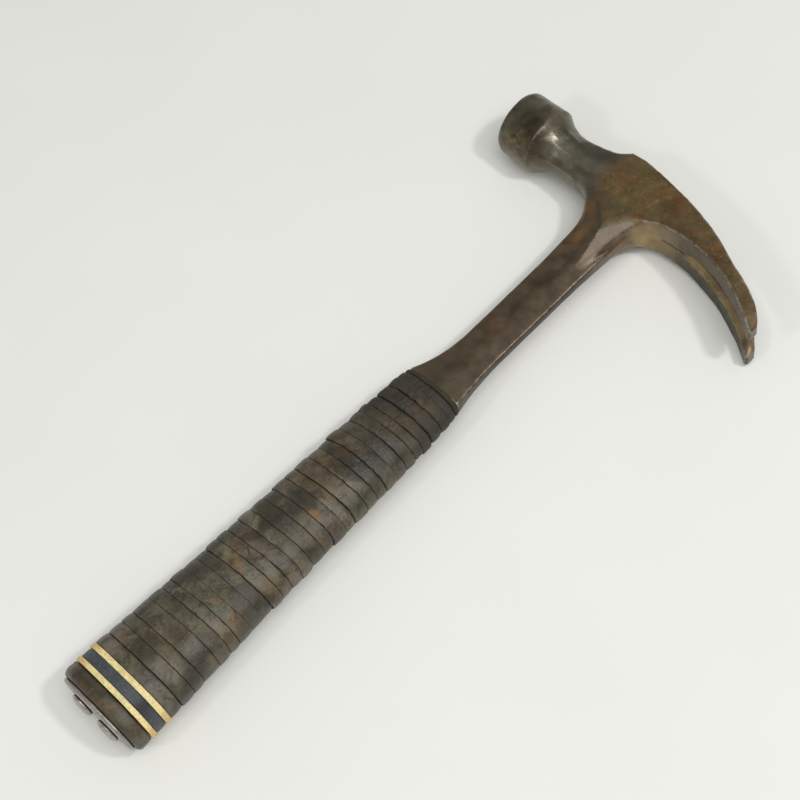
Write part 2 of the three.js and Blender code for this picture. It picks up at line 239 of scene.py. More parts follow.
def ring_points(low, high, corners, swell, offset, slope, columns, seed, fray=0.0):
    """A washer as a surface of angle and section.

    The section runs up the low face, round a quarter-round corner, over the rim, round the other
    corner and back down the high face to the tang's slot. The rim stands out by swell in its
    middle and by offset all round, rises by slope from its low to its high side, and is out of
    true by three slow waves. fray adds short uneven steps at both corners. Returns the grid, and
    how far into a groove each point lies."""
    rng = np.random.default_rng(seed)
    angle = np.linspace(0, 2 * math.pi, columns, endpoint=False)
    width = high - low
    first, last = (min(corner, width * 0.45) for corner in corners)
    quarter = np.linspace(0, math.pi / 2, 6)
    turn_along, turn_in = 1 - np.cos(quarter), 1 - np.sin(quarter)
    rim_x = first + np.linspace(0, 1, 9)[1:-1] * (width - first - last)
    face_in = np.array([6.0, 3.0, 1.6])
    section_x = np.concatenate(
        [[0, 0, 0], first * turn_along, rim_x, width - last * turn_along[::-1], [width] * 3]
    )
    section_in = np.concatenate(
        [face_in, first * turn_in, np.zeros(7), last * turn_in[::-1], face_in[::-1]]
    )
    dark_in = np.concatenate([[1, 1, 1], turn_in, np.zeros(7), turn_in[::-1], [1, 1, 1]])
    share = section_x / width
    bulge = 1 - (2 * share - 1) ** 2
    x = low + section_x[:, None] + np.zeros(columns)
    reach = oval_radius(angle, *grip_half_sizes(x), GRIP_POWER)
    waves = sum(
        rng.normal(0, 0.1) * np.cos(k * angle + rng.uniform(0, 6.28)) for k in (1, 2, 3, 5)
    )
    edge = np.clip(section_in, 0, 1)[:, None]
    ring = np.stack([np.cos(angle) * 15, np.sin(angle) * 12, np.zeros(columns)], -1)
    tatter = ripple(ring, 5.0, seed + 1) * 0.6 + ripple(ring, 1.7, seed + 2) * 0.4
    tatter_high = ripple(ring + 40, 4.0, seed + 3) * 0.7 + ripple(ring, 1.5, seed + 4) * 0.4
    step = np.where(share[:, None] < 0.5, tatter, tatter_high) * (0.05 + 0.5 * fray)
    rim = swell * bulge[:, None] + slope * (share[:, None] - 0.5) + offset + waves
    radius = reach + rim - section_in[:, None] + step * (0.35 + edge)
    slot = oval_radius(angle, *TANG_SLOT, SLOT_POWER)
    radius = np.maximum(radius, slot + 0.5)
    radius = np.vstack([radius, slot, slot])
    x = np.vstack([x, np.full(columns, high), np.full(columns, low)])
    x[: len(section_x)] += step * 0.5 * edge * np.where(share[:, None] < 0.5, 1, -1)
    points = np.stack([x, radius * np.cos(angle), radius * np.sin(angle)], -1)
    depth = np.repeat(np.concatenate([dark_in, [1, 1]])[:, None], columns, 1)
    return points, depth, angle


def angle_spot(angle, centre, size):
    """A soft spot round the ring: 1 at the centre angle."""
    away = np.angle(np.exp(1j * (angle - centre)))
    return np.exp(-((away / size) ** 2))


# ---------------------------------------------------------------- the forging's form


def curve(*controls, steps=16):
    """Points along a curve from the first control point to the last, pulled by the others."""
    t = np.linspace(0, 1, steps)[:, None]
    order = len(controls) - 1
    return sum(
        math.comb(order, i) * t**i * (1 - t) ** (order - i) * np.array(p, float)
        for i, p in enumerate(controls)
    )


def mirrored(half):
    """Closes an outline given on one side of its first coordinate with its other side."""
    return np.vstack([half, half[::-1] * [-1, 1]])


def side_outline():
    """Head seen from above, as x and y: poll, outer claw, tip, inner claw, throat, shank root, bell side."""
    return np.vstack([
        curve((286, 37), (290.2, 29), (288.6, 19), (291.6, 13.6), (294.9, 11.2), steps=12),
        curve((294.9, 11.2), (293.6, -11.3), (287.6, -34), (276.2, -54.2)),
        curve((276.2, -54.2), (271.6, -66.2), (267.2, -73.2), (261.4, -76.9))[1:],
        curve((261.4, -76.9), (258.8, -78.0), (257.9, -75.3), steps=7)[1:],
        curve((257.9, -75.3), (265.2, -66), (270.2, -53))[1:],
        curve((270.2, -53), (273.6, -44.5), (275.6, -32), (274.3, -21.5))[1:],
        curve((274.3, -21.5), (272.8, -9.6), (262, -10.4), (244, -6.4), steps=20)[1:],
        curve((244, 3.4), (257, 6.4), (264.6, 9.4), (269.3, 13.9)),
        curve((269.3, 13.9), (272.6, 17.4), (272.8, 25), (274.6, 37))[1:],
    ])


def hook_outline():
    """The air inside the claw's hook, as x and y, bounded by the claw's inner face."""
    return np.vstack([
        curve((257.9, -75.3), (265.2, -66), (270.2, -53)),
        curve((270.2, -53), (273.6, -44.5), (275.6, -32), (274.3, -21.5))[1:],
        [[240, -21.5], [240, -75.3]],
    ])


def plan_outline():
    """Head seen along the handle, as z and y: cheeks, spreading claw, two rounded tines and the nail slot."""
    spread = np.linspace(12, -62, 30)
    reach = 8.4 + (CLAW_SPREAD - 8.4) * np.sin(math.pi / 2 * np.clip(-spread / 62, 0, 1)) ** 1.7
    half = np.vstack([
        [[5, 37]],
        curve((6.0, 35), (8.2, 26), (8.4, 12), steps=8),
        np.stack([reach, spread], -1)[1:],
        curve((CLAW_SPREAD, -62), (CLAW_SPREAD, -74), (13.0, TIP_Y), (9.4, TIP_Y))[1:],
        curve((9.4, TIP_Y), (5.0, TIP_Y), (4.4, -74.8), (4.0, -69))[1:],
        curve((4.0, -69), (1.6, -36), (1.0, SLOT_ROOT_Y - 0.8), (0, SLOT_ROOT_Y))[1:-1],
    ])
    return mirrored(half)


def bell_outline():
    """Bell and neck as radius and y: crowned face, chamfered rim, rear ridge, hollow bevel, waist."""
    face = FACE_Y
    half = np.vstack([
        curve((0, face), (6, face), (11.7, face - 0.5), steps=8),
        curve((11.7, face - 0.5), (13.3, face - 1), (13.6, face - 2.8), steps=6)[1:],
        curve((13.9, 44.6), (14.1, 43.6), (13.6, 42.9), steps=5),
        curve((13.6, 42.9), (12.2, 40.6), (9.9, 38.6), (9.2, 33.5))[1:],
        curve((9.2, 33.5), (8.8, 28), (9.1, 18), (7.5, 6))[1:],
    ])
    return mirrored(half[::-1])[::-1]


def outline_distance(outline, u, v):
    """Signed distance from points to a closed outline, below 0 inside it.

    The size is the least distance to any edge; the sign turns over at each edge that a ray crosses."""
    best = np.full(u.shape, 1e9)
    inside = np.zeros(u.shape, bool)
    for (au, av), (bu, bv) in zip(outline, np.roll(outline, -1, 0)):
        eu, ev = bu - au, bv - av
        length = eu * eu + ev * ev
        if length < 1e-9:
            continue
        t = np.clip(((u - au) * eu + (v - av) * ev) / length, 0, 1)
        best = np.minimum(best, (u - au - t * eu) ** 2 + (v - av - t * ev) ** 2)
        if ev:
            inside ^= ((av > v) != (bv > v)) & (u < au + (v - av) * eu / ev)
    return np.where(inside, -1, 1) * np.sqrt(best)


class DistanceTable:
    """An outline's signed distance worked out once on a fine grid, then read by linear blending."""

    STEP = 0.25

    def __init__(self, outline, low, high):
        self.low = np.array(low, float)
        self.axes = [np.arange(a, b, self.STEP) for a, b in zip(low, high)]
        self.values = outline_distance(outline, *np.meshgrid(*self.axes, indexing="ij"))

    def __call__(self, u, v):
        s = np.clip((u - self.low[0]) / self.STEP, 0, len(self.axes[0]) - 1.001)
        t = np.clip((v - self.low[1]) / self.STEP, 0, len(self.axes[1]) - 1.001)
        i, j = s.astype(int), t.astype(int)
        a, b = s - i, t - j
        g = self.values
        return (g[i, j] * (1 - a) + g[i + 1, j] * a) * (1 - b) + (
            g[i, j + 1] * (1 - a) + g[i + 1, j + 1] * a
        ) * b


def join(a, b, width):
    """Union of two distance fields with a fillet: the lesser one, lowered where they are within width."""
    h = np.maximum(width - np.abs(a - b), 0) / width
    return np.minimum(a, b) - h * h * width / 4


def keep(a, b, width):
    """Overlap of two distance fields with a rounded edge: the greater one, raised where they are close."""
    return -join(-a, -b, width)


class Forging:
    """The one-piece head and shank as a field that is below 0 inside the steel."""

    def __init__(self):
        self.side = DistanceTable(side_outline(), (240, -80), (300, 40))
        self.hook = DistanceTable(hook_outline(), (240, -80), (300, 0))
        self.plan = DistanceTable(plan_outline(), (-18, -80), (18, 40))
        self.bell = DistanceTable(bell_outline(), (-20, 0), (20, 64))

    def shank(self, x, y, z):
        """Flat bar with a soft ridge along the middle of each face and a flare at the shoulder."""
        flare = np.clip((GRIP_TOP_X + 27 - x) / 27, 0, 1) ** 2.2
        half = 8.5 + 3.9 * flare + 0.5 * smooth(x, 236, 258)
        away = (y - SHANK_Y * (1 - flare)) / half
        thick = 2.1 + 1.1 * (1 - np.sqrt(away * away + 0.05)) + 1.2 * flare + 0.7 * smooth(x, 225, 256)
        slab = keep((np.abs(away) - 1) * half, np.abs(z) - thick, 1.1)
        return keep(keep(slab, GRIP_TOP_X + 0.15 - x, 0.8), x - 270, 1)

    def cheek_slope(self, x, y):
        """How far a point lies inside the V whose arms bound the flat cheek on the shank's side."""
        towards_bell = 0.72 * (x - 260.5) - 0.69 * (y + 2.5)
        towards_claw = 0.55 * (x - 259.5) + 0.83 * (y + 2.5)
        towards_claw = towards_claw + 0.0395 * np.clip(x - 267, 0, None) ** 3
        return np.minimum(towards_bell, towards_claw)

    def head(self, x, y, z):
        """Side view and end view cut from one block, falling away from the cheek's V to the shank."""
        side = self.side(x, y)
        height = np.abs(z)
        block = keep(side, self.plan(z, y), 0.9 + 3.5 * smooth(y, 3, 13) - 0.5 * smooth(-y, 60, 66))
        rise = 8.4 + 0.52 * self.cheek_slope(x, y) + 90 * smooth(-y, 16, 44)
        block = keep(block, (height - rise) * 0.88, 0.9 + 2.5 * smooth(y, -2, 10))
        into = self.hook(x, y)
        bevel = 2.2 * smooth(-y, 27, 36)
        opening = 0.6 + 0.085 * np.clip(SLOT_ROOT_Y - y, 0, None) + bevel - 0.9 * into
        slot = keep(height - opening, into - 2.6, 0.5)
        return keep(block, -slot, 0.6)

    def neck(self, x, y, z):
        """Bell and neck turned round the bell's axis; the neck is eight-sided and a little flat."""
        flat = 0.88 + 0.12 * smooth(y, 24, 42)
        across, up = np.abs(x - BELL_AXIS_X), np.abs(z) / flat
        round_reach = np.hypot(across, up)
        diagonal = (across + up) * 0.7071
        sides = np.maximum(np.maximum(across, up), diagonal) * 1.03
        facets = 0.75 * smooth(-y, -41, -34)
        return self.bell(round_reach + (sides - round_reach) * facets, y)

    def __call__(self, p):
        x, y, z = p[..., 0], p[..., 1], p[..., 2]
        body = join(self.head(x, y, z), self.shank(x, y, z), 2.0)
        body = join(body, self.neck(x, y, z), 2.5)
        rough = 0.25 + 0.75 * smooth(x, 252, 270)
        return body + rough * (0.09 * ripple(p, 14, 11, 8) + 0.04 * ripple(p, 4.5, 12, 8))


def surface_net(field, low, high, step):
    """Skin of a field on a grid of cubes.

    Every cube that the surface crosses gets one point at the mean of the crossings on its edges,
    and every grid edge that it crosses gets a quad between its four cubes, wound to face out. The
    points are then moved along the field's slope onto the surface."""
    axes = [np.arange(a, b + step, step) for a, b in zip(low, high)]
    shape = [len(a) for a in axes]
    values = np.empty(shape)
    for i in range(0, shape[0], 24):
        block = np.stack(np.meshgrid(axes[0][i : i + 24], axes[1], axes[2], indexing="ij"), -1)
        values[i : i + 24] = field(block)
    inside = values < 0
    corners = np.array([(i, j, k) for i in (0, 1) for j in (0, 1) for k in (0, 1)])
    n = np.array(shape) - 1
    count = sum(
        inside[c[0] : c[0] + n[0], c[1] : c[1] + n[1], c[2] : c[2] + n[2]].astype(np.int8)
        for c in corners
    )
    cells = np.argwhere((count > 0) & (count < 8))
    number = np.full(n, -1)
    number[tuple(cells.T)] = np.arange(len(cells))
    at_corner = np.stack([values[tuple((cells + c).T)] for c in corners], -1)
    total = np.zeros((len(cells), 3))
    crossings = np.zeros(len(cells))
    for a in range(8):
        for b in range(a + 1, 8):
            if np.abs(corners[a] - corners[b]).sum() != 1:
                continue
            fa, fb = at_corner[:, a], at_corner[:, b]
            crossed = (fa < 0) != (fb < 0)
            t = np.where(crossed, fa / np.where(crossed, fa - fb, 1), 0)
            point = corners[a] + t[:, None] * (corners[b] - corners[a])
            total += np.where(crossed[:, None], point, 0)
            crossings += crossed
    origin = np.array([a[0] for a in axes])
    points = origin + step * (cells + total / crossings[:, None])
    quads = []
    for axis in range(3):
        u, v = (axis + 1) % 3, (axis + 2) % 3
        ahead = np.roll(inside, -1, axis)
        crossed = inside != ahead
        crossed[tuple(slice(-1, None) if d == axis else slice(None) for d in range(3))] = False
        edges = np.argwhere(crossed)
        du, dv = np.eye(3, dtype=int)[u], np.eye(3, dtype=int)[v]
        ring = [edges, edges - du, edges - du - dv, edges - dv]
        quad = np.stack([number[tuple(r.T)] for r in ring], -1)
        outward = inside[tuple(edges.T)]
        quads.append(np.where(outward[:, None], quad, quad[:, ::-1]))
    quads = np.concatenate(quads)
    points = settle(field, points, step)
    return points, quads


def slope(field, points, reach=0.05):
    """Gradient of a field by differences on both sides of each point."""
    steps = np.eye(3) * reach
    return np.stack([field(points + s) - field(points - s) for s in steps], -1) / (2 * reach)


def settle(field, points, step, rounds=3):
    """Moves points along the slope until the field is 0 at each, no more than half a step a round."""
    for _ in range(rounds):
        g = slope(field, points)
        move = field(points)[:, None] * g / np.maximum((g * g).sum(-1), 0.05)[:, None]
        size = np.linalg.norm(move, axis=1)[:, None]
        points = points - move * np.minimum(1, 0.5 * step / np.maximum(size, 1e-9))
    return points


def spread_values(values, quads, rounds):
    """Averages point values with those of their neighbours along the quads' edges."""
    a = quads.reshape(-1)
    b = np.roll(quads, -1, 1).reshape(-1)
    count = np.bincount(a, minlength=len(values)) + np.bincount(b, minlength=len(values))
    for _ in range(rounds):
        near = np.bincount(a, values[b], len(values)) + np.bincount(b, values[a], len(values))
        values = 0.5 * values + 0.5 * near / count
    return values


def bulge_of(points, quads, normals, rounds):
    """How far each point stands out from its neighbours: positive on edges, negative in fillets."""
    smoothed = np.stack([spread_values(points[:, i], quads, rounds) for i in range(3)], -1)
    return ((points - smoothed) * normals).sum(-1)


# ---------------------------------------------------------------- materials


class Nodes:
    """Adds shader nodes to one material, and returns their outputs to be wired on."""

    def __init__(self, name):
        self.material = bpy.data.materials.new(name)
        self.material.use_nodes = True
        self.tree = self.material.node_tree
        self.shader = self.tree.nodes["Principled BSDF"]
        self.place = self.add("ShaderNodeTexCoord").outputs["Object"]

    def add(self, kind, inputs=None, **settings):
        node = self.tree.nodes.new(kind)
        for label, value in settings.items():
            setattr(node, label, value)
        for label, value in (inputs or {}).items():
            self.wire(value, node.inputs[label])
        return node

    def wire(self, value, socket):
        if isinstance(value, bpy.types.NodeSocket):
            self.tree.links.new(value, socket)
        elif hasattr(value, "__len__") and len(value) == 3 and socket.type == "RGBA":
            socket.default_value = (*value, 1.0)
        else:
            socket.default_value = value

    def value(self, label):
        """A point value of the mesh."""
        return self.add("ShaderNodeAttribute", attribute_name=label).outputs["Fac"]

    def color(self, label):
        """A point colour of the mesh."""
        return self.add("ShaderNodeAttribute", attribute_name=label).outputs["Color"]

    def stretched(self, scale):
        """Object coordinates drawn out by a different scale on each axis."""
        return self.add("ShaderNodeMapping", {"Vector": self.place, "Scale": scale}).outputs[0]

    def noise(self, size_mm, detail=4.0, rough=0.55, warp=0.0, place=None):
        """Cloudy noise whose patches are about size_mm across."""
        node = self.add(
            "ShaderNodeTexNoise",
            {"Scale": 1000.0 / size_mm, "Detail": detail, "Roughness": rough, "Distortion": warp},
        )
        self.wire(place or self.place, node.inputs["Vector"])
        return node.outputs["Fac"]

    def ramp(self, value, low, high, out_low=0.0, out_high=1.0):
        """Carries value from low..high to out_low..out_high and holds it there."""
        node = self.add(
            "ShaderNodeMapRange",
            {"Value": value, "From Min": low, "From Max": high, "To Min": out_low, "To Max": out_high},
        )
        return node.outputs[0]

    def math(self, operation, a, b=0.0):
        node = self.add("ShaderNodeMath", operation=operation)
        self.wire(a, node.inputs[0])
        self.wire(b, node.inputs[1])
        return node.outputs[0]

    def mix(self, amount, a, b, mode="MIX"):
        """Mixes two colours."""
        node = self.add("ShaderNodeMix", data_type="RGBA", blend_type=mode)
        self.wire(amount, node.inputs[0])
        self.wire(a, node.inputs[6])
        self.wire(b, node.inputs[7])
        return node.outputs[2]

    def bump(self, height, depth_mm, strength=1.0, under=None):
        node = self.add(
            "ShaderNodeBump",
            {"Strength": strength, "Distance": depth_mm * MM, "Height": height},
        )
        if under is not None:
            self.wire(under, node.inputs["Normal"])
        return node.outputs[0]

    def finish(self, **sockets):
        for label, value in sockets.items():
            self.wire(value, self.shader.inputs[label.replace("_", " ")])
        return self.material


def steel_material(steel):
    """Browned steel: painted patina broken up by fine mottling, worn bright edges and small pits."""
    n = Nodes("forged steel")
    edge = n.ramp(n.value("edge"), 0.12, 0.6)
    cloud = n.noise(7.0, 5.0, 0.6)
    grain = n.noise(0.9, 4.0, 0.65)
    fine = n.noise(0.35, 2.0, 0.5)
    speckle = n.math("MULTIPLY", n.ramp(grain, 0.3, 0.7, -0.2, 0.2), n.value("rust"))
    tone = n.math("ADD", n.ramp(cloud, 0.3, 0.7, 0.72, 1.24), speckle)
    color = n.mix(1.0, n.color("patina"), tone, "MULTIPLY")
    rust = n.math("MULTIPLY", n.ramp(n.noise(2.6, 5.0, 0.7, 0.6), 0.56, 0.68), n.value("rust"))
    color = n.mix(n.math("MULTIPLY", rust, 0.55), color, linear(steel.rust_color))
    fleck = n.math("MULTIPLY", n.ramp(n.noise(1.5, 4.0, 0.65, 0.8), 0.60, 0.68), n.value("fleck"))
    color = n.mix(n.math("MULTIPLY", fleck, 0.7), color, linear(steel.fleck_color))
    worn = n.math("MULTIPLY", edge, n.ramp(n.noise(2.4, 3.0), 0.4, 0.62, 0.15, 0.75))
    color = n.mix(worn, color, linear(steel.edge_color))
    pits = n.ramp(n.noise(0.7, 2.0, 0.5), 0.28, 0.4)
    rough = n.math("ADD", n.ramp(cloud, 0.3, 0.7, steel.roughness - 0.08, steel.roughness + 0.1),
                   n.ramp(fine, 0.3, 0.7, -0.06, 0.06))
    rough = n.math("ADD", rough, n.math("MULTIPLY", n.value("rust"), 0.2))
    height = n.math("ADD", n.math("MULTIPLY", pits, 0.4), n.math("MULTIPLY", grain, n.value("rust")))
    normal = n.bump(height, 0.08, 0.5)
    normal = n.bump(n.noise(3.2, 4.0, 0.6), 0.3, 0.5, normal)
    return n.finish(
        Base_Color=color, Roughness=rough, Normal=normal, Metallic=0.55, IOR=1.6
    )


def leather_material(name, grip, shine):
    """Handled leather edges: painted tones, fine layers running round the grip, grime in the grooves."""
    n = Nodes(name)
    cloud = n.noise(8.0, 5.0, 0.65, 0.4)
    layers = n.noise(1.1, 3.0, 0.6, 0.0, n.stretched((1.6, 0.15, 0.15)))
    grain = n.noise(0.9, 5.0, 0.7)
    tone = n.math("ADD", n.ramp(cloud, 0.3, 0.7, 0.5, 1.34), n.ramp(grain, 0.3, 0.7, -0.24, 0.24))
    tone = n.math("ADD", tone, n.ramp(layers, 0.3, 0.7, -0.08, 0.08))
    color = n.mix(1.0, n.color("patina"), tone, "MULTIPLY")
    smear = n.ramp(n.noise(5.0, 6.0, 0.75, 1.2), 0.49, 0.63, 0.0, 0.85)
    color = n.mix(smear, color, linear(grip.dark_leather_and_side_shade))
    scuff = n.ramp(n.noise(2.6, 6.0, 0.75, 0.8), 0.60, 0.72, 0.0, 0.4)
    color = n.mix(scuff, color, linear(grip.scuff_color))
    groove = n.ramp(n.value("groove"), 0.1, 0.6)
    filled = n.ramp(n.noise(7.0, 3.0, 0.6), 0.36, 0.52, 0.45, 0.95)
    color = n.mix(n.math("MULTIPLY", groove, filled), color, linear(grip.grime_color))
    rough = n.math("ADD", n.ramp(cloud, 0.3, 0.7, shine - 0.1, shine + 0.1),
                   n.ramp(grain, 0.3, 0.7, -0.08, 0.08))
    rough = n.math("ADD", rough, n.math("MULTIPLY", groove, 0.3))
    rough = n.math("ADD", rough, n.math("MULTIPLY", n.value("dull"), 0.25))
    normal = n.bump(n.math("ADD", grain, n.math("MULTIPLY", layers, 0.6)), 0.32, 0.6)
    normal = n.bump(n.noise(3.4, 4.0, 0.65), 0.6, 0.5, normal)
    return n.finish(Base_Color=color, Roughness=rough, Normal=normal, IOR=1.52)


def fibre_material(name, light, dark, fine_mm, shine):
    """Pressed fibre: two close tones in fine grains with darker wear."""
    n = Nodes(name)
    grain = n.noise(fine_mm, 4.0, 0.75)
    cloud = n.noise(6.0, 4.0, 0.6)
    color = n.mix(n.ramp(grain, 0.30, 0.58), dark, light)
    color = n.mix(1.0, color, n.color("patina"), "MULTIPLY")
    color = n.mix(1.0, color, n.ramp(cloud, 0.3, 0.7, 0.84, 1.12), "MULTIPLY")
    normal = n.bump(grain, 0.12, 0.5)
    rough = n.ramp(cloud, 0.3, 0.7, shine - 0.06, shine + 0.1)
    return n.finish(Base_Color=color, Roughness=rough, Normal=normal, IOR=1.48)


def plate_material(name, steel, tint, roughness):
    """Bare worn steel plate: cloudy grey with fine scratches and darker stains."""
    n = Nodes(name)
    cloud = n.noise(4.5, 5.0, 0.6)
    scratch = n.noise(0.6, 3.0, 0.6, 0.0, n.stretched((1.0, 0.15, 1.0)))
    tone = n.math("ADD", n.ramp(cloud, 0.3, 0.7, 0.62, 1.2), n.ramp(scratch, 0.3, 0.7, -0.2, 0.2))
    color = n.mix(1.0, linear(tint), tone, "MULTIPLY")
    stain = n.ramp(n.noise(2.0, 4.0, 0.7, 0.5), 0.54, 0.68, 0.0, 0.7)
    color = n.mix(stain, color, linear(steel.brown))
    color = n.mix(n.ramp(n.value("groove"), 0.1, 0.8), color, linear(steel.dark))
    normal = n.bump(n.math("ADD", scratch, cloud), 0.15, 0.6)
    return n.finish(
        Base_Color=color, Roughness=n.ramp(cloud, 0.3, 0.7, roughness - 0.08, roughness + 0.12),
        Normal=normal, Metallic=0.6,
    )


# ---------------------------------------------------------------- settings


def tint(name, description, color):
    """A colour setting, given as it looks on a screen."""
    return FloatVectorProperty(
        name=name, description=description, subtype="COLOR_GAMMA", size=3, min=0, max=1, default=color
    )


def length(name, description, default_mm):
    """A length setting in metres, with its default given in mm."""
    return FloatProperty(
        name=name, description=description, subtype="DISTANCE", unit="LENGTH", min=0,
        default=default_mm * MM,
    )


class HammerSteelSettings(bpy.types.PropertyGroup):
    brown: tint("Brown", "Browned steel of the shank", (0.365, 0.31, 0.24))
    # Painted light: a lighter brown for the shank's claw side, standing in for the lit side.
    face_light: tint("Lit face", "Smoother brown of the shank's claw side", (0.415, 0.36, 0.29))
    dark: tint("Dark", "Grime in hollows and along the middle of the shank", (0.16, 0.145, 0.11))
    olive: tint("Olive", "Bell and poll of the head", (0.39, 0.365, 0.28))
    neck_color: tint("Neck", "Grey steel of the neck", (0.40, 0.39, 0.33))
    cheek: tint("Cheek", "Rusty cheeks and claw sides", (0.43, 0.34, 0.21))
    # Tan steel in the throat, and also a painted highlight on the upward bevel of the claw's slot.
    gold: tint("Gold", "Tan rubbed steel in the throat and along the claw", (0.65, 0.565, 0.40))
    rust_color: tint("Rust", "Red rust patches", (0.40, 0.22, 0.11))
    fleck_color: tint("Flecks", "Tan flecks on cheeks and bell", (0.62, 0.52, 0.31))
    edge_color: tint("Worn edges", "Bright steel where edges are rubbed", (0.68, 0.66, 0.62))
    cap_color: tint("End cap", "Bare steel of the cap plate", (0.63, 0.61, 0.575))
    roughness: FloatProperty(
        name="Roughness", description="Roughness of the steel", subtype="FACTOR", min=0.05, max=1,
        default=0.31,
    )
    net_step: length("Net step", "Size of the cubes that the forging's skin is worked out on", 0.5)


class HammerGripSettings(bpy.types.PropertyGroup):
    leather_grey: tint("Grey leather", "Handled leather in the middle of the grip", (0.395, 0.38, 0.30))
    leather_brown: tint("Brown leather", "Warm brown leather", (0.35, 0.28, 0.185))
    leather_mauve: tint("Mauve leather", "Smooth reddish grey leather", (0.40, 0.35, 0.315))
    # Dark greasy leather near the neck and in patches; also painted as shade on the grip's sides.
    dark_leather_and_side_shade: tint("Dark leather", "Greasy leather near the neck", (0.195, 0.172, 0.122))
    orange_color: tint("Orange stain", "Rust stains beside some grooves", (0.50, 0.345, 0.14))
    scuff_color: tint("Scuffs", "Pale rubbed spots", (0.46, 0.42, 0.35))
    grime_color: tint("Grime", "Dirt in the grooves", (0.075, 0.065, 0.04))
    yellow_color: tint("Yellow fibre", "Yellow spacers", (0.96, 0.90, 0.67))
    yellow_dark: tint("Yellow fibre grain", "Darker grains of the yellow spacers", (0.80, 0.68, 0.40))
    dark_fibre: tint("Dark fibre", "Blue-black spacer", (0.30, 0.315, 0.335))
    dark_grain: tint("Dark fibre grain", "Darker grains of the blue-black spacer", (0.17, 0.18, 0.195))
    corner: length("Washer corner", "Rounding of each washer's rim", 0.4)
    swell: length("Washer swell", "How far each rim stands out in its middle", 0.28)
    shine: FloatProperty(
        name="Leather roughness", description="Roughness of the handled leather", subtype="FACTOR",
        min=0.05, max=1, default=0.42,
    )
    columns: IntProperty(
        name="Points round a washer", description="Points round each washer", min=48, max=400,
        default=216,
    )


class HammerStageSettings(bpy.types.PropertyGroup):
    floor_color: tint("Floor", "Pale floor", (0.943, 0.943, 0.928))
    ambient: FloatProperty(
        name="Ambient", description="Strength of the light from all round", min=0, default=0.33
    )
    key_power: FloatProperty(
        name="Key light", description="Power of the light on the claw's side", subtype="POWER",
        unit="POWER", min=0, default=4.0,
    )
    fill_power: FloatProperty(
        name="Fill light", description="Power of the weaker light beyond the butt",
        subtype="POWER", unit="POWER", min=0, default=1.6,
    )
    top_power: FloatProperty(
        name="Top light", description="Power of the broad light overhead", subtype="POWER",
        unit="POWER", min=0, default=20.6,
    )
    lens: FloatProperty(
        name="Lens", description="Focal length for a 36 mm wide sensor", subtype="DISTANCE_CAMERA",
        min=10, default=79.7,
    )


# ---------------------------------------------------------------- pieces


# Colours of the forging's patina and of its painted shade beside those in the settings, as they look on a
# screen.
PATINA = {
    "maroon": (0.34, 0.215, 0.15),
    "moss": (0.38, 0.345, 0.215),
    "red_rust": (0.44, 0.265, 0.145),
    "facet_brown": (0.33, 0.28, 0.235),
    "poll_tan": (0.50, 0.36, 0.215),
    "root_rust": (0.50, 0.39, 0.225),
    "valley_grey": (0.27, 0.275, 0.22),
    "rim_olive": (0.25, 0.235, 0.165),
    # Painted shade on the shank's side wall.
    "wall_dark": (0.13, 0.12, 0.09),
    "shoulder_grey": (0.34, 0.335, 0.27),
    "neck_dark": (0.25, 0.24, 0.19),
    "neck_brown": (0.28, 0.22, 0.16),
    "bell_brown": (0.29, 0.23, 0.175),
    # Painted shade: a dark patch on the top of the bell's barrel.
    "bell_grime": (0.165, 0.155, 0.11),
    "bell_mauve": (0.25, 0.185, 0.155),
    "bell_light": (0.44, 0.405, 0.35),
    "bell_rim": (0.33, 0.335, 0.305),
    "bell_blotch": (0.20, 0.18, 0.125),
    "bell_speck": (0.46, 0.385, 0.23),
    "hook_tan": (0.49, 0.42, 0.29),
    "hook_brown": (0.29, 0.25, 0.17),
    "hook_side": (0.44, 0.36, 0.26),
    "hook_edge": (0.36, 0.27, 0.18),
    "hook_streak": (0.27, 0.22, 0.145),
    # Painted shade on the lower tine's inner face.
    "hook_low": (0.22, 0.215, 0.15),
    "border": (0.19, 0.16, 0.11),
    "tip_grey": (0.33, 0.31, 0.245),
}


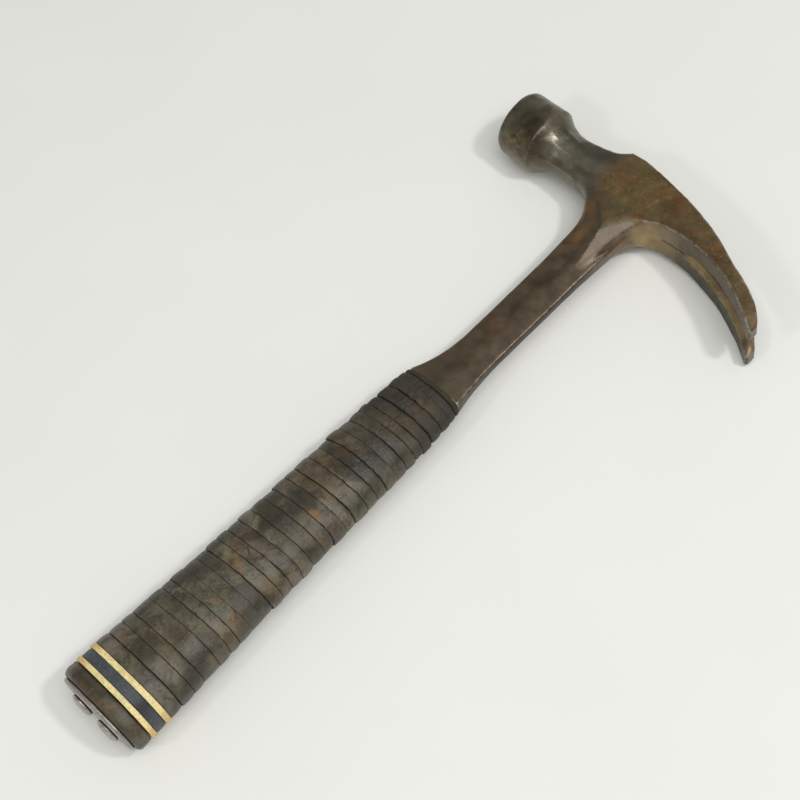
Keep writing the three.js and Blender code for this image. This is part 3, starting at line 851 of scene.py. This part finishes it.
class ForgingPatina:
    """Coats of colour on the forging's points, each laid by place and facing in soft patches.

    The coats go on from the shank to the cheeks, the bell and the claw, the later over the earlier."""

    def __init__(self, points, normals, field, steel):
        self.points, self.normals, self.field, self.steel = points, normals, field, steel
        self.x, self.y, self.z = points.T
        self.cloud = ripple(points, 16, 31)
        self.small = ripple(points, 6, 32)
        self.spots = ripple(points, 3, 34)
        self.flat = smooth(np.abs(normals[:, 2]), 0.6, 0.9)
        self.arms = field.cheek_slope(self.x, self.y)
        plain = np.tile(linear(steel.brown), (len(points), 1))
        self.color = plain * (1 + 0.1 * self.cloud[:, None])
        self.shank()
        self.cheeks()
        self.facets()
        self.shank_edges()
        self.neck()
        self.bell()
        self.hook()
        self.throat_and_slot()

    def coat(self, tone, amount):
        """Lays a colour of the settings or of the patina over the points by an amount each."""
        color = PATINA[tone] if tone in PATINA else getattr(self.steel, tone)
        self.color = blend_color(self.color, linear(color), amount)

    def shank(self):
        x, y = self.x, self.y
        below_head = 1 - smooth(x + 0.3 * y, 256, 266)
        # Painted light: the claw side of the shank is painted lighter, as if lit.
        right = smooth(SHANK_Y - y, -1.5, 4.5) * below_head
        self.coat("face_light", 0.4 * right)
        reddish = np.clip(self.small + 0.3 * self.cloud, 0, 1) * (1 - right) * below_head
        self.coat("maroon", 0.5 * reddish)
        drawn_out = ripple(self.points * [0.3, 1, 1], 7, 36)
        middle = np.exp(-((y - SHANK_Y - 0.6 + 1.2 * self.cloud) / 1.5) ** 2) * smooth(x, 182, 205)
        self.coat("dark", 0.6 * middle * below_head * np.clip(0.65 + 0.5 * drawn_out, 0, 1))

    def cheeks(self):
        x, y = self.x, self.y
        plateau = smooth(self.arms + 90 * smooth(-y, 16, 44), -1.2, 0.6) * (1 - smooth(y, 7, 20))
        plateau *= np.maximum(smooth(x, 255, 262), smooth(-y, 30, 40))
        self.plateau = plateau * self.flat
        self.coat("cheek", self.plateau)
        moss = np.clip(0.45 + 0.7 * self.small - 0.4 * self.cloud, 0, 1)
        self.coat("moss", 0.6 * self.plateau * moss)
        red = np.clip(ripple(self.points, 11, 33) + 0.4 * self.spots, 0, 1)
        self.coat("red_rust", 0.45 * red * self.plateau)
        tan = smooth(self.spots, 0.45, 1.1) * smooth(self.cloud, -0.3, 0.5)
        self.coat("fleck_color", 0.25 * tan * self.plateau)

    def facets(self):
        """The slopes between the cheek and the shank, and the grime along their borders."""
        x, y, arms, flat = self.x, self.y, self.arms, self.flat
        claw_side = smooth(-arms, 0.2, 1.6) * smooth(-2.5 - y, 0, 1.5) * smooth(x, 244, 254) * flat
        self.claw_side = claw_side * (1 - smooth(-y, 16, 22))
        self.coat("facet_brown", 0.8 * self.claw_side)
        facing = smooth(np.abs(self.normals[:, 2]), 0.3, 0.7)
        self.coat("poll_tan", 0.8 * blob(x, y, (264.5, 6.8), (5, 4)) * facing)
        self.coat("root_rust", 0.75 * blob(x, y, (253, 3.0), (5, 2.4)) * flat)
        valley = np.exp(-((arms + 0.2) / 1.1) ** 2) * smooth(x, 255, 260) * flat
        valley *= 1 - smooth(x, 268, 273)
        poll_end = blob(x, 0.4 * y, (269.5, 1.2), (4.2, 3.0)) * 0.75 * flat
        self.coat("valley_grey", 0.75 * np.maximum(valley, poll_end))
        edge_line = np.exp(-((self.field.hook(x, y) - 1.6) / 1.5) ** 2) * flat * smooth(-y, 16, 22)
        self.coat("rim_olive", 0.6 * edge_line * (0.6 + 0.4 * self.small))

    def shank_edges(self):
        # Painted shade: the shank's side wall on the claw's side is darkened as if in shade.
        wall = smooth(-self.normals[:, 1], 0.55, 0.9) * (1 - smooth(self.x, 240, 250))
        self.coat("wall_dark", 0.85 * wall)
        shoulder = smooth(-self.x, -190, -176) * (0.5 + 0.5 * self.small)
        self.coat("shoulder_grey", 0.5 * np.clip(shoulder, 0, 1))

    def neck(self):
        self.on_neck = smooth(self.y, 8, 19)
        self.coat("neck_color", 0.85 * self.on_neck)
        top = smooth(self.normals[:, 2], 0.75, 0.95) * smooth(self.x, 279, 284)
        self.coat("neck_dark", 0.6 * self.on_neck * top)
        patches = np.clip(self.small - 0.1, 0, 1) * smooth(-self.x, -282, -276)
        self.coat("neck_brown", 0.6 * self.on_neck * patches)

    def bell(self):
        x, y = self.x, self.y
        bell = smooth(y, 37, 44)
        facing = smooth(self.normals[:, 2], 0.2, 0.8)
        self.coat("olive", 0.9 * bell)
        self.coat("bell_brown", 0.7 * bell * np.clip(self.cloud + 0.1, 0, 1))
        # Painted shade: a dark band across the upward faces of the bell's barrel.
        painted_shade_band = bell * blob(x, y, (277, 50), (7, 6)) * facing
        self.coat("bell_grime", np.clip(painted_shade_band, 0, 0.8))
        self.coat("bell_mauve", 0.8 * bell * blob(x, y, (272, 42.5), (5, 4)) * facing)
        self.coat("bell_light", 0.6 * bell * smooth(x, 282, 289) * np.clip(0.7 + 0.5 * self.small, 0, 1))
        self.coat("bell_rim", 0.6 * smooth(y, 55.5, 58.5))
        self.coat("bell_blotch", 0.5 * bell * smooth(ripple(self.points, 7, 41), 0.1, 0.8))
        self.specks = bell * blob(x, y, (268.5, 50), (5, 5.5))
        self.coat("bell_speck", 0.75 * self.specks * smooth(self.spots, -0.3, 0.9))

    def hook(self):
        """The claw's inner face, from the throat to the tips, with painted shade on the lower tine."""
        x, y, z, small = self.x, self.y, self.z, self.small
        inner = smooth(-self.normals[:, 0], 0.25, 0.7) * smooth(-y, 7, 13) * smooth(x, 255, 262)
        self.coat("hook_tan", 0.9 * inner)
        self.far_inner = inner * smooth(-y, 22, 34)
        self.coat("hook_brown", 0.8 * self.far_inner)
        side = smooth(-self.normals[:, 1], 0.5, 0.9) * smooth(x, 248, 257)
        side *= smooth(-y, 4, 8) * (1 - smooth(-y, 12, 18))
        self.coat("hook_side", 0.75 * side)
        near_edge = inner * smooth(z, 8, 12) * np.clip(0.6 + 0.6 * small, 0, 1)
        self.coat("hook_edge", 0.6 * near_edge)
        streaks = np.clip(0.3 + ripple(self.points * [1, 1, 0.3], 4.5, 39), 0, 1)
        self.coat("hook_streak", 0.65 * self.far_inner * streaks)
        # Painted shade: the lower tine's inner face is darkened as if in shade.
        shaded_low_side = inner * smooth(-z, 3, 7) * smooth(-y, 24, 34)
        self.coat("hook_low", np.clip(shaded_low_side * (0.85 + 0.3 * small), 0, 0.95))

    def throat_and_slot(self):
        x, y, z, small = self.x, self.y, self.z, self.small
        throat = blob(y, z, (THROAT_Y, -1), (6.5, 9)) * smooth(-self.normals[:, 0], 0.1, 0.6)
        self.throat = throat * smooth(x, 262, 268)
        self.coat("gold", 0.9 * self.throat * np.clip(0.85 + 0.5 * small, 0, 1))
        border = self.flat * smooth(self.field.side(x, y), -1.5, -0.6)
        border *= smooth(-y, 5, 7) * smooth(x, 247, 254)
        border *= 1 - smooth(-y, 15, 19)
        self.coat("border", 0.8 * border)
        # Painted highlight: the upward-facing bevel of the lower tine's slot edge is painted gold, as if lit
        # from above.
        bevel = smooth(self.normals[:, 2], 0.25, 0.6) * smooth(9 + z, 0, 2) * smooth(2 - z, 0, 1)
        bevel *= smooth(-y, 28, 36) * smooth(4.0 - self.field.hook(x, y), 0, 1.5)
        self.coat("gold", 0.85 * bevel * np.clip(0.8 + 0.3 * small, 0, 1))
        self.coat("tip_grey", 0.35 * smooth(-y, 66, 73))

    def rust(self):
        """How rusty and rough each point is."""
        rust = np.clip(0.15 + 0.85 * self.plateau, 0, 1) * (1 - 0.8 * self.on_neck)
        rust = rust + 0.3 * self.throat + 0.4 * self.claw_side + 0.6 * self.far_inner
        return np.clip(rust, 0, 1)

    def fleck(self):
        """How thick the tan flecks lie on each point."""
        return np.clip(self.plateau * (0.5 + 0.8 * self.small) + self.specks, 0, 1)


def build_forging(settings):
    """Head and shank as one skin, worked out from the forging's field."""
    step = settings.net_step / MM
    field = Forging()
    low = (GRIP_TOP_X - 1, -78, -15)
    high = (297, FACE_Y + 1.5, 15)
    points, quads = surface_net(field, low, high, step)
    normals = slope(field, points, 0.15)
    normals /= np.linalg.norm(normals, axis=1)[:, None]
    low_box, high_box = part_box("forged_head_and_tang")
    limit_low = (np.array(low_box) - HANDLE_ORIGIN) / MM
    limit_high = (np.array(high_box) - HANDLE_ORIGIN) / MM
    points = np.clip(points, limit_low, limit_high)
    edge = bulge_of(points, quads, normals, 3) / step * 2.6
    patina = ForgingPatina(points, normals, field, settings)
    hollow = smooth(-spread_values(edge, quads, 2), 0.08, 0.4)
    patina.coat("dark", 0.4 * hollow)
    floats = {"edge": edge, "rust": patina.rust(), "fleck": patina.fleck()}
    return make_piece(
        "forged_head_and_shank", points, quads.reshape(-1), np.full(len(quads), 4),
        steel_material(settings), ["forged_head_and_tang"], floats, patina.color,
    )


def build_tang(settings):
    """Flat bar through the grip: a rounded oblong carried along x, drawn in to a point at each end."""
    columns = 48
    angle = np.linspace(0, 2 * math.pi, columns, endpoint=False)
    along = np.concatenate([[3.6], np.linspace(4, GRIP_TOP_X - 0.3, 24), [GRIP_TOP_X]])[:, None]
    reach = oval_radius(angle, 9.0, 2.1, 7.0) * np.where((along < 4) | (along >= GRIP_TOP_X), 0.9, 1)
    grid = np.stack([along + 0 * reach, reach * np.cos(angle), reach * np.sin(angle)], -1)
    ends = [[3.5, 0, 0], [GRIP_TOP_X + 0.1, 0, 0]]
    points = np.vstack([grid.reshape(-1, 3), ends])
    loops, sizes = capped_faces(len(along), columns)
    shades = np.tile(linear(settings.brown), (len(points), 1))
    zeros = np.zeros(len(points))
    return make_piece(
        "tang_bar", points, loops, sizes, steel_material(settings), [],
        {"edge": zeros, "rust": zeros + 0.4, "fleck": zeros}, shades,
    )


PEENED_TINT = (0.68, 0.67, 0.64)


def build_peened_heads(settings):
    """Two tenon ends hammered out over the cap.

    Each is a low dome: its radius follows a quarter circle from the plate to the crown, is pushed
    in and out by three waves round it, and its crown is dished and dented."""
    rng = np.random.default_rng(7)
    columns, rows = 64, 14
    angle = np.linspace(0, 2 * math.pi, columns, endpoint=False)
    all_points, all_loops, all_sizes, depth = [], [], [], []
    first = 0
    for side in (-1, 1):
        t = np.linspace(0, 1, rows)[:, None]
        radius = np.where(t < 0.3, 4.3 + 0.5 * np.sin(t / 0.3 * math.pi / 2),
                          4.8 * np.cos((t - 0.3) / 0.7 * math.pi / 2 * 0.97) ** 0.75)
        out = np.where(t < 0.3, 0.7 * t / 0.3, 0.7 + 1.5 * np.sin((t - 0.3) / 0.7 * math.pi / 2))
        wave = 1 + sum(0.035 * np.cos(k * angle + rng.uniform(0, 6.28)) for k in (2, 3, 5))
        ring = radius * wave
        y = 7.0 * side + ring * np.cos(angle)
        z = ring * np.sin(angle)
        grid = np.stack([-out + 0 * ring, y, z], -1)
        dents = ripple(grid, 3.2, 40 + side)
        grid[..., 0] += 0.22 * dents * smooth(out, 0.8, 1.6)
        grid[..., 0] = np.maximum(grid[..., 0], -2.2)
        middle = [[0.05, 7.0 * side, 0.0], [grid[-1, :, 0].mean(), 7.0 * side, 0.0]]
        all_points.append(np.vstack([grid.reshape(-1, 3), middle]))
        loops, sizes = capped_faces(rows, columns, first)
        all_loops.append(loops)
        all_sizes.append(sizes)
        depth.append(np.concatenate([np.repeat(1 - smooth(t[:, 0], 0.0, 0.3), columns), [1, 0]]))
        first += rows * columns + 2
    loops = np.concatenate(all_loops)
    return make_piece(
        "peened_heads", np.vstack(all_points), loops, np.concatenate(all_sizes),
        plate_material("peened steel", settings, PEENED_TINT, 0.30), [],
        {"groove": np.concatenate(depth)},
    )


def build_end_cap(settings):
    """Oval steel plate: a flat outer face with a rolled rim, as a surface of angle and inset.

    The face is flat, the rim turns through a half circle, and a slow wave dents the outline."""
    low, high = span("end_cap")
    columns = 200
    angle = np.linspace(0, 2 * math.pi, columns, endpoint=False)
    box_low, box_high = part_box("end_cap")
    half_y = (box_high.y - box_low.y) / 2 / MM
    half_z = (box_high.z - box_low.z) / 2 / MM
    inset = np.array([14, 9, 6, 3.5, 2.0, 1.2, 0.6, 0.2, 0.0, 0.0, 0.2, 0.8, 2.0, 6.0, 14])
    share = np.array([0.03, 0.02, 0.0, 0.0, 0.02, 0.1, 0.25, 0.45, 0.62, 0.75, 0.9, 1, 1, 1, 1])
    reach = oval_radius(angle, half_y - 0.05, half_z - 0.05, GRIP_POWER)
    dent = 0.12 * np.cos(3 * angle + 1) + 0.08 * np.cos(7 * angle) - 0.15
    radius = np.maximum(reach + dent - inset[:, None], 0.08 * reach)
    x = low + share[:, None] * (high - low) + 0 * radius
    grid = np.stack([x, radius * np.cos(angle), radius * np.sin(angle)], -1)
    points = np.vstack([grid.reshape(-1, 3), [[low + 0.05, 0, 0], [high, 0, 0]]])
    loops, sizes = capped_faces(len(inset), columns)
    around_heads = [
        np.exp(-((np.hypot(points[:, 1] - s * 7, points[:, 2]) - 5.2) / 0.7) ** 2) for s in (-1, 1)
    ]
    groove = np.clip(sum(around_heads), 0, 1) * (points[:, 0] < low + 0.5)
    groove = np.maximum(groove, 0.7 * smooth(points[:, 0], high - 0.4, high - 0.1))
    return make_piece(
        "end_cap_plate", points, loops, sizes,
        plate_material("cap plate", settings, settings.cap_color, 0.34), ["end_cap"],
        {"groove": groove},
    )


LEATHER_BLOTCH = (0.175, 0.155, 0.115)
BUTT_OLIVE = (0.25, 0.225, 0.16)

# Rust stains on the leather, the later over the earlier: place along the grip in mm, facing round
# it from the bell's side over the top, half length in mm, half width in radians, and strength.
RUST_STAINS = (
    (101.5, 2.35, 1.6, 0.45, 1.5), (33, -0.62, 4.5, 0.5, 0.5), (41, -0.75, 5, 0.35, 0.8),
    (52, -0.62, 5.5, 0.5, 1.0), (60, -0.5, 4, 0.4, 0.9), (64, -1.1, 2, 0.3, 0.7),
    (71, 2.0, 2.5, 0.45, 0.6), (83, -0.45, 2.5, 0.35, 0.8), (96, 2.75, 2.4, 0.5, 1.0),
    (111, -0.5, 3, 0.4, 0.9), (130, 1.5, 3, 0.3, 0.5), (146, -0.95, 4, 0.4, 0.7),
    (153, -0.8, 3, 0.3, 0.6), (170.5, 1.6, 1.8, 0.45, 1.3), (160, 2.1, 3.5, 0.4, 0.6),
    (150.5, 1.8, 3, 0.35, 0.5), (57, 2.4, 4, 0.4, 0.5), (88, 4.2, 5, 0.5, 0.8),
    (124, 4.9, 4, 0.6, 0.7), (30, 4.4, 4, 0.5, 0.7),
)


def leather_paint(points, angle, order, grip):
    """Colour of each point of a leather washer: its own tone, cloudy patches, rust stains, grease, and
    painted shade darkening the grip's sides.
    """
    rng = np.random.default_rng(500 + order)
    flat = points.reshape(-1, 3)
    cloud = ripple(flat, 26, 51)
    small = ripple(flat, 8, 52 + order)
    color = np.tile(linear(grip.leather_grey), (len(flat), 1))
    color = blend_color(color, linear(grip.leather_brown), np.clip(0.25 + 0.45 * cloud + 0.35 * small, 0, 1))
    mauve = np.clip(rng.uniform(-0.4, 0.9) + 0.5 * ripple(flat, 18, 53), 0, 1)
    color = blend_color(color, linear(grip.leather_mauve), 0.45 * mauve)
    color *= rng.uniform(0.78, 1.18)
    x = flat[:, 0]
    neck = smooth(x, 112, 160)
    # Painted shade: the sides of the grip are darkened, so that its middle looks lit.
    sides = 0.6 * smooth(np.abs(flat[:, 1]), 8, 15) * smooth(ripple(flat, 24, 54), -0.6, 0.5)
    dark = np.clip(0.86 * neck + sides + 0.6 * np.clip(-cloud - 0.2 * small, 0, 1), 0, 0.92)
    color = blend_color(color, linear(grip.dark_leather_and_side_shade), dark)
    blotch = smooth(ripple(flat, 22, 57) + 0.35 * small + 0.2 * smooth(flat[:, 1], 4, 14), 0.25, 0.75)
    color = blend_color(color, linear(LEATHER_BLOTCH), 0.75 * blotch)
    turn = np.broadcast_to(angle, points.shape[:-1]).reshape(-1)
    for at, facing, reach, wide, strength in RUST_STAINS:
        spot = np.exp(-(((x - at) / reach) ** 2)) * angle_spot(turn, facing, wide)
        spot = np.clip(spot * strength * (0.6 + 1.3 * small), 0, 1)
        color = blend_color(color, linear(grip.orange_color), 0.6 * spot)
    return color


def build_leather_washers(grip):
    """Every leather washer, each with its own offset, waviness and tone; ragged near the neck."""
    rng = np.random.default_rng(21)
    material = leather_material("stacked leather", grip, grip.shine)
    spans = [span(node) for node in WASHERS]
    corners = grip.corner / MM * rng.choice([0.5, 0.75, 1.0, 1.35], len(spans) + 1)
    corners[[8, 12]] = 0.12
    corners[25] = 1.1
    pieces = []
    for order, (node, (low, high)) in enumerate(zip(WASHERS, spans)):
        worn = smooth((low + high) / 2, 138, 150)
        middle = (low + high) / 2
        drop = 0.9 * smooth(middle, 136, 151) + 0.5 * smooth(middle, 151, 166)
        points, depth, angle = ring_points(
            low - 0.14, high + 0.14, corners[order : order + 2],
            grip.swell / MM * rng.uniform(0.3, 1.2), rng.uniform(-0.3, 0.15) - drop,
            rng.uniform(-0.35, 0.35), grip.columns, 100 + 7 * order,
            fray=0.12 + 0.9 * worn,
        )
        loops, sizes = ring_faces(*points.shape[:2])
        color = leather_paint(points, angle, order, grip)
        pieces.append(make_piece(
            node.replace("leather_washer", "grip_washer"), lean(points), loops, sizes, material,
            [node], {"groove": depth, "dull": np.full(depth.shape, worn)}, color,
        ))
    return pieces


def build_butt_washer(grip):
    """Thick leather washer at the butt, its outer rim turned over in a wide quarter round."""
    low, high = span("butt_washer")
    low -= 0.4
    columns = grip.columns
    angle = np.linspace(0, 2 * math.pi, columns, endpoint=False)
    t = np.linspace(0, math.pi / 2, 9)
    section_x = np.concatenate([[0, 0], 3.6 * (1 - np.cos(t)), [4.4, 5.3], [5.85, 6.1, 6.1, 6.1]])
    section_in = np.concatenate([[6, 3.6], 2.3 * (1 - np.sin(t)), [0, 0.02], [0.18, 0.7, 2.5, 6]])
    section_x = section_x * (high - low) / 6.1
    x = low + section_x[:, None] + np.zeros(columns)
    reach = oval_radius(angle, *grip_half_sizes(x), GRIP_POWER)
    ring = np.stack([x, 16 * np.cos(angle) + 0 * x, 13 * np.sin(angle) + 0 * x], -1)
    radius = reach - section_in[:, None] - 0.15 + 0.16 * ripple(ring, 9, 61) + 0.06 * ripple(ring, 3, 62)
    slot = oval_radius(angle, *TANG_SLOT, SLOT_POWER)
    radius = np.vstack([np.maximum(radius, slot + 0.5), slot, slot])
    x = np.vstack([x, np.full(columns, high), np.full(columns, low)])
    points = np.stack([x, radius * np.cos(angle), radius * np.sin(angle)], -1)
    depth = np.concatenate([[1, 0.9], 0.5 * smooth(-t, -0.5, 0.0), [0, 0.15], [0.6, 1, 1, 1], [1, 1]])
    depth = np.repeat(depth[:, None], columns, 1)
    loops, sizes = ring_faces(*points.shape[:2])
    flat = points.reshape(-1, 3)
    color = np.tile(linear(grip.leather_brown), (len(flat), 1))
    olive = np.clip(0.65 + 0.5 * ripple(flat, 12, 63), 0, 0.95)
    color = blend_color(color, linear(BUTT_OLIVE), olive)
    color = blend_color(color, linear(grip.leather_grey), np.clip(0.6 * ripple(flat, 9, 64), 0, 0.6))
    return make_piece(
        "butt_leather", lean(points), loops, sizes,
        leather_material("butt leather", grip, grip.shine - 0.04), ["butt_washer"],
        {"groove": depth}, color,
    )


def build_spacers(grip):
    """Yellow, blue-black and yellow fibre rings between the butt washer and the leather."""
    yellow = fibre_material(
        "yellow fibre", linear(grip.yellow_color), linear(grip.yellow_dark), 0.8, 0.55
    )
    dark = fibre_material("dark fibre", linear(grip.dark_fibre), linear(grip.dark_grain), 0.9, 0.5)
    pieces = []
    for order, node in enumerate(SPACERS):
        low, high = span(node)
        is_dark = node == "spacer_dark"
        points, depth, _ = ring_points(
            low - 0.12 * is_dark, high + 0.12 * is_dark, (0.25, 0.25), 0.05,
            -0.12 if is_dark else 0.05, 0.0, grip.columns, 300 + order, fray=0.1,
        )
        flat = points.reshape(-1, 3)
        shade = np.ones((len(flat), 3))
        ends = np.maximum(smooth(flat[:, 1], 9, 15), smooth(-flat[:, 1], 17.5, 20.5))[:, None]
        if is_dark:
            spot = blob(flat[:, 1], flat[:, 2], (-13.5, 10.5), (3.0, 6))[:, None]
            shade *= 1 - 0.9 * spot
        else:
            shade *= 1 - ends * np.array([0.12, 0.24, 0.36])
        loops, sizes = ring_faces(*points.shape[:2])
        pieces.append(make_piece(
            node.replace("spacer", "fibre"), lean(points), loops, sizes, dark if is_dark else yellow,
            [node], {"groove": depth}, shade,
        ))
    return pieces


def build_top_washer(grip):
    """Thin ragged washer against the shank's shoulder."""
    low, high = span("top_washer")
    points, depth, angle = ring_points(
        low - 0.1, high + 0.1, (0.9, 0.9), 0.1, -1.9, 0.0, grip.columns, 400, fray=0.5,
    )
    loops, sizes = ring_faces(*points.shape[:2])
    color = leather_paint(points, angle, 40, grip)
    return make_piece(
        "neck_washer", lean(points), loops, sizes, leather_material("neck leather", grip, 0.55),
        ["top_washer"], {"groove": depth, "dull": np.ones(depth.shape)}, color,
    )


# ---------------------------------------------------------------- stage

FLOOR_REACH = 3.0
FLOOR_GAP = 0.0003

# Name, direction from the hammer's middle, distance and width in metres, and the power's setting.
# The top light leans towards the camera.
LIGHTS = (
    ("key_light", (0.25, -0.49, 0.84), 1.3, 0.12, "key_power"),
    ("fill_light", (-0.65, 0.05, 0.76), 1.3, 0.14, "fill_power"),
    ("top_light", (-0.12, -0.34, 0.93), 2.2, 1.3, "top_power"),
)

# The camera's place in the handle frame in mm, where it looks, and its right hand side.
CAMERA_PLACE = (-13.7, -262.9, 577.3)
CAMERA_FORWARD = (0.261, 0.409, -0.875)
CAMERA_RIGHT = (0.697, -0.707, -0.123)


def aim(place, target, up=(0, 0, 1)):
    """A matrix at place whose -Z looks at target."""
    back = (Vector(place) - Vector(target)).normalized()
    right = Vector(up).cross(back).normalized()
    turn = Matrix((right, back.cross(right), back)).transposed().to_4x4()
    return Matrix.Translation(place) @ turn


def add_light(name, direction, distance, size, power, target):
    """A square light, looking at the middle of the hammer from a direction."""
    lamp = bpy.data.lights.new(name, "AREA")
    lamp.shape = "SQUARE"
    lamp.size = size
    lamp.energy = power
    lamp.color = (1.0, 1.0, 0.98)
    light = bpy.data.objects.new(name, lamp)
    bpy.context.scene.collection.objects.link(light)
    light.matrix_world = aim(Vector(target) + Vector(direction).normalized() * distance, target)
    return light


def build_floor(stage):
    floor_mesh = bpy.data.meshes.new("floor")
    height = CAD_BOX[0][2] - FLOOR_GAP
    signs = ((-1, -1), (1, -1), (1, 1), (-1, 1))
    corners = [(x * FLOOR_REACH, y * FLOOR_REACH, height) for x, y in signs]
    floor_mesh.from_pydata(corners, [], [(0, 1, 2, 3)])
    floor = bpy.data.objects.new("floor", floor_mesh)
    bpy.context.scene.collection.objects.link(floor)
    n = Nodes("floor")
    cloud = n.ramp(n.noise(90, 2.0), 0.3, 0.7, 0.985, 1.01)
    color = n.mix(1.0, linear(stage.floor_color), cloud, "MULTIPLY")
    floor_mesh.materials.append(n.finish(Base_Color=color, Roughness=0.9))


def build_world(stage):
    """Even light from all round."""
    world = bpy.data.worlds.new("studio")
    world.use_nodes = True
    background = world.node_tree.nodes["Background"]
    background.inputs["Color"].default_value = (1.0, 1.0, 0.985, 1)
    background.inputs["Strength"].default_value = stage.ambient
    bpy.context.scene.world = world
    bpy.context.scene.view_settings.view_transform = "Standard"


def build_camera(stage):
    lens = bpy.data.cameras.new("camera")
    lens.sensor_width = 36
    lens.lens = stage.lens
    lens.clip_start = 0.01
    camera = bpy.data.objects.new("camera", lens)
    bpy.context.scene.collection.objects.link(camera)
    forward = Vector(CAMERA_FORWARD).normalized()
    right = Vector(CAMERA_RIGHT)
    right = (right - forward * right.dot(forward)).normalized()
    turn = Matrix((right, right.cross(forward), -forward)).transposed().to_4x4()
    camera.matrix_world = Matrix.Translation(to_world(CAMERA_PLACE)) @ turn
    bpy.context.scene.camera = camera


def build_stage(stage):
    """Pale floor, two small lights, a broad one overhead, even light, and the camera above the butt."""
    build_floor(stage)
    low, high = (Vector(c) for c in CAD_BOX)
    for name, direction, distance, size, power in LIGHTS:
        add_light(name, direction, distance, size, getattr(stage, power), (low + high) / 2)
    build_world(stage)
    build_camera(stage)


# ---------------------------------------------------------------- operators


class HAMMER_OT_forging(bpy.types.Operator):
    """Build the head and shank"""

    bl_idname = "hammer.forging"
    bl_label = "Head and Shank"

    def execute(self, context):
        build_forging(context.scene.hammer_steel)
        return {"FINISHED"}


class HAMMER_OT_tang(bpy.types.Operator):
    """Build the tang and its peened ends"""

    bl_idname = "hammer.tang"
    bl_label = "Tang and Peened Ends"

    def execute(self, context):
        build_tang(context.scene.hammer_steel)
        build_peened_heads(context.scene.hammer_steel)
        return {"FINISHED"}


class HAMMER_OT_end_cap(bpy.types.Operator):
    """Build the steel plate at the butt"""

    bl_idname = "hammer.end_cap"
    bl_label = "End Cap"

    def execute(self, context):
        build_end_cap(context.scene.hammer_steel)
        return {"FINISHED"}


class HAMMER_OT_butt_washer(bpy.types.Operator):
    """Build the thick leather washer at the butt"""

    bl_idname = "hammer.butt_washer"
    bl_label = "Butt Washer"

    def execute(self, context):
        build_butt_washer(context.scene.hammer_grip)
        return {"FINISHED"}


class HAMMER_OT_spacers(bpy.types.Operator):
    """Build the three fibre spacers"""

    bl_idname = "hammer.spacers"
    bl_label = "Fibre Spacers"

    def execute(self, context):
        build_spacers(context.scene.hammer_grip)
        return {"FINISHED"}


class HAMMER_OT_leather_washers(bpy.types.Operator):
    """Build the stack of leather washers"""

    bl_idname = "hammer.leather_washers"
    bl_label = "Leather Washers"

    def execute(self, context):
        build_leather_washers(context.scene.hammer_grip)
        return {"FINISHED"}


class HAMMER_OT_top_washer(bpy.types.Operator):
    """Build the thin washer at the neck"""

    bl_idname = "hammer.top_washer"
    bl_label = "Top Washer"

    def execute(self, context):
        build_top_washer(context.scene.hammer_grip)
        return {"FINISHED"}


class HAMMER_OT_stage(bpy.types.Operator):
    """Build the floor, the lights and the camera"""

    bl_idname = "hammer.stage"
    bl_label = "Stage"

    def execute(self, context):
        build_stage(context.scene.hammer_stage)
        return {"FINISHED"}


OPERATORS = (
    HAMMER_OT_forging, HAMMER_OT_tang, HAMMER_OT_end_cap, HAMMER_OT_butt_washer,
    HAMMER_OT_spacers, HAMMER_OT_leather_washers, HAMMER_OT_top_washer, HAMMER_OT_stage,
)
SETTINGS = {
    "hammer_steel": HammerSteelSettings,
    "hammer_grip": HammerGripSettings,
    "hammer_stage": HammerStageSettings,
}


class HAMMER_PT_panel(bpy.types.Panel):
    bl_idname = "HAMMER_PT_panel"
    bl_label = "Claw Hammer"
    bl_space_type = "VIEW_3D"
    bl_region_type = "UI"
    bl_category = "Hammer"

    def draw(self, context):
        for operator in OPERATORS:
            self.layout.operator(operator.bl_idname)
        for name, group in SETTINGS.items():
            box = self.layout.box()
            for label in group.__annotations__:
                box.prop(getattr(context.scene, name), label)


def register():
    for group in SETTINGS.values():
        bpy.utils.register_class(group)
    for name, group in SETTINGS.items():
        setattr(bpy.types.Scene, name, PointerProperty(type=group))
    for operator in OPERATORS:
        bpy.utils.register_class(operator)
    bpy.utils.register_class(HAMMER_PT_panel)


def unregister():
    bpy.utils.unregister_class(HAMMER_PT_panel)
    for operator in reversed(OPERATORS):
        bpy.utils.unregister_class(operator)
    for name in SETTINGS:
        delattr(bpy.types.Scene, name)
    for group in reversed(SETTINGS.values()):
        bpy.utils.unregister_class(group)


def main():
    register()
    for operator in OPERATORS:
        group, name = operator.bl_idname.split(".")
        getattr(getattr(bpy.ops, group), name)()


if __name__ == "__main__":
    main()
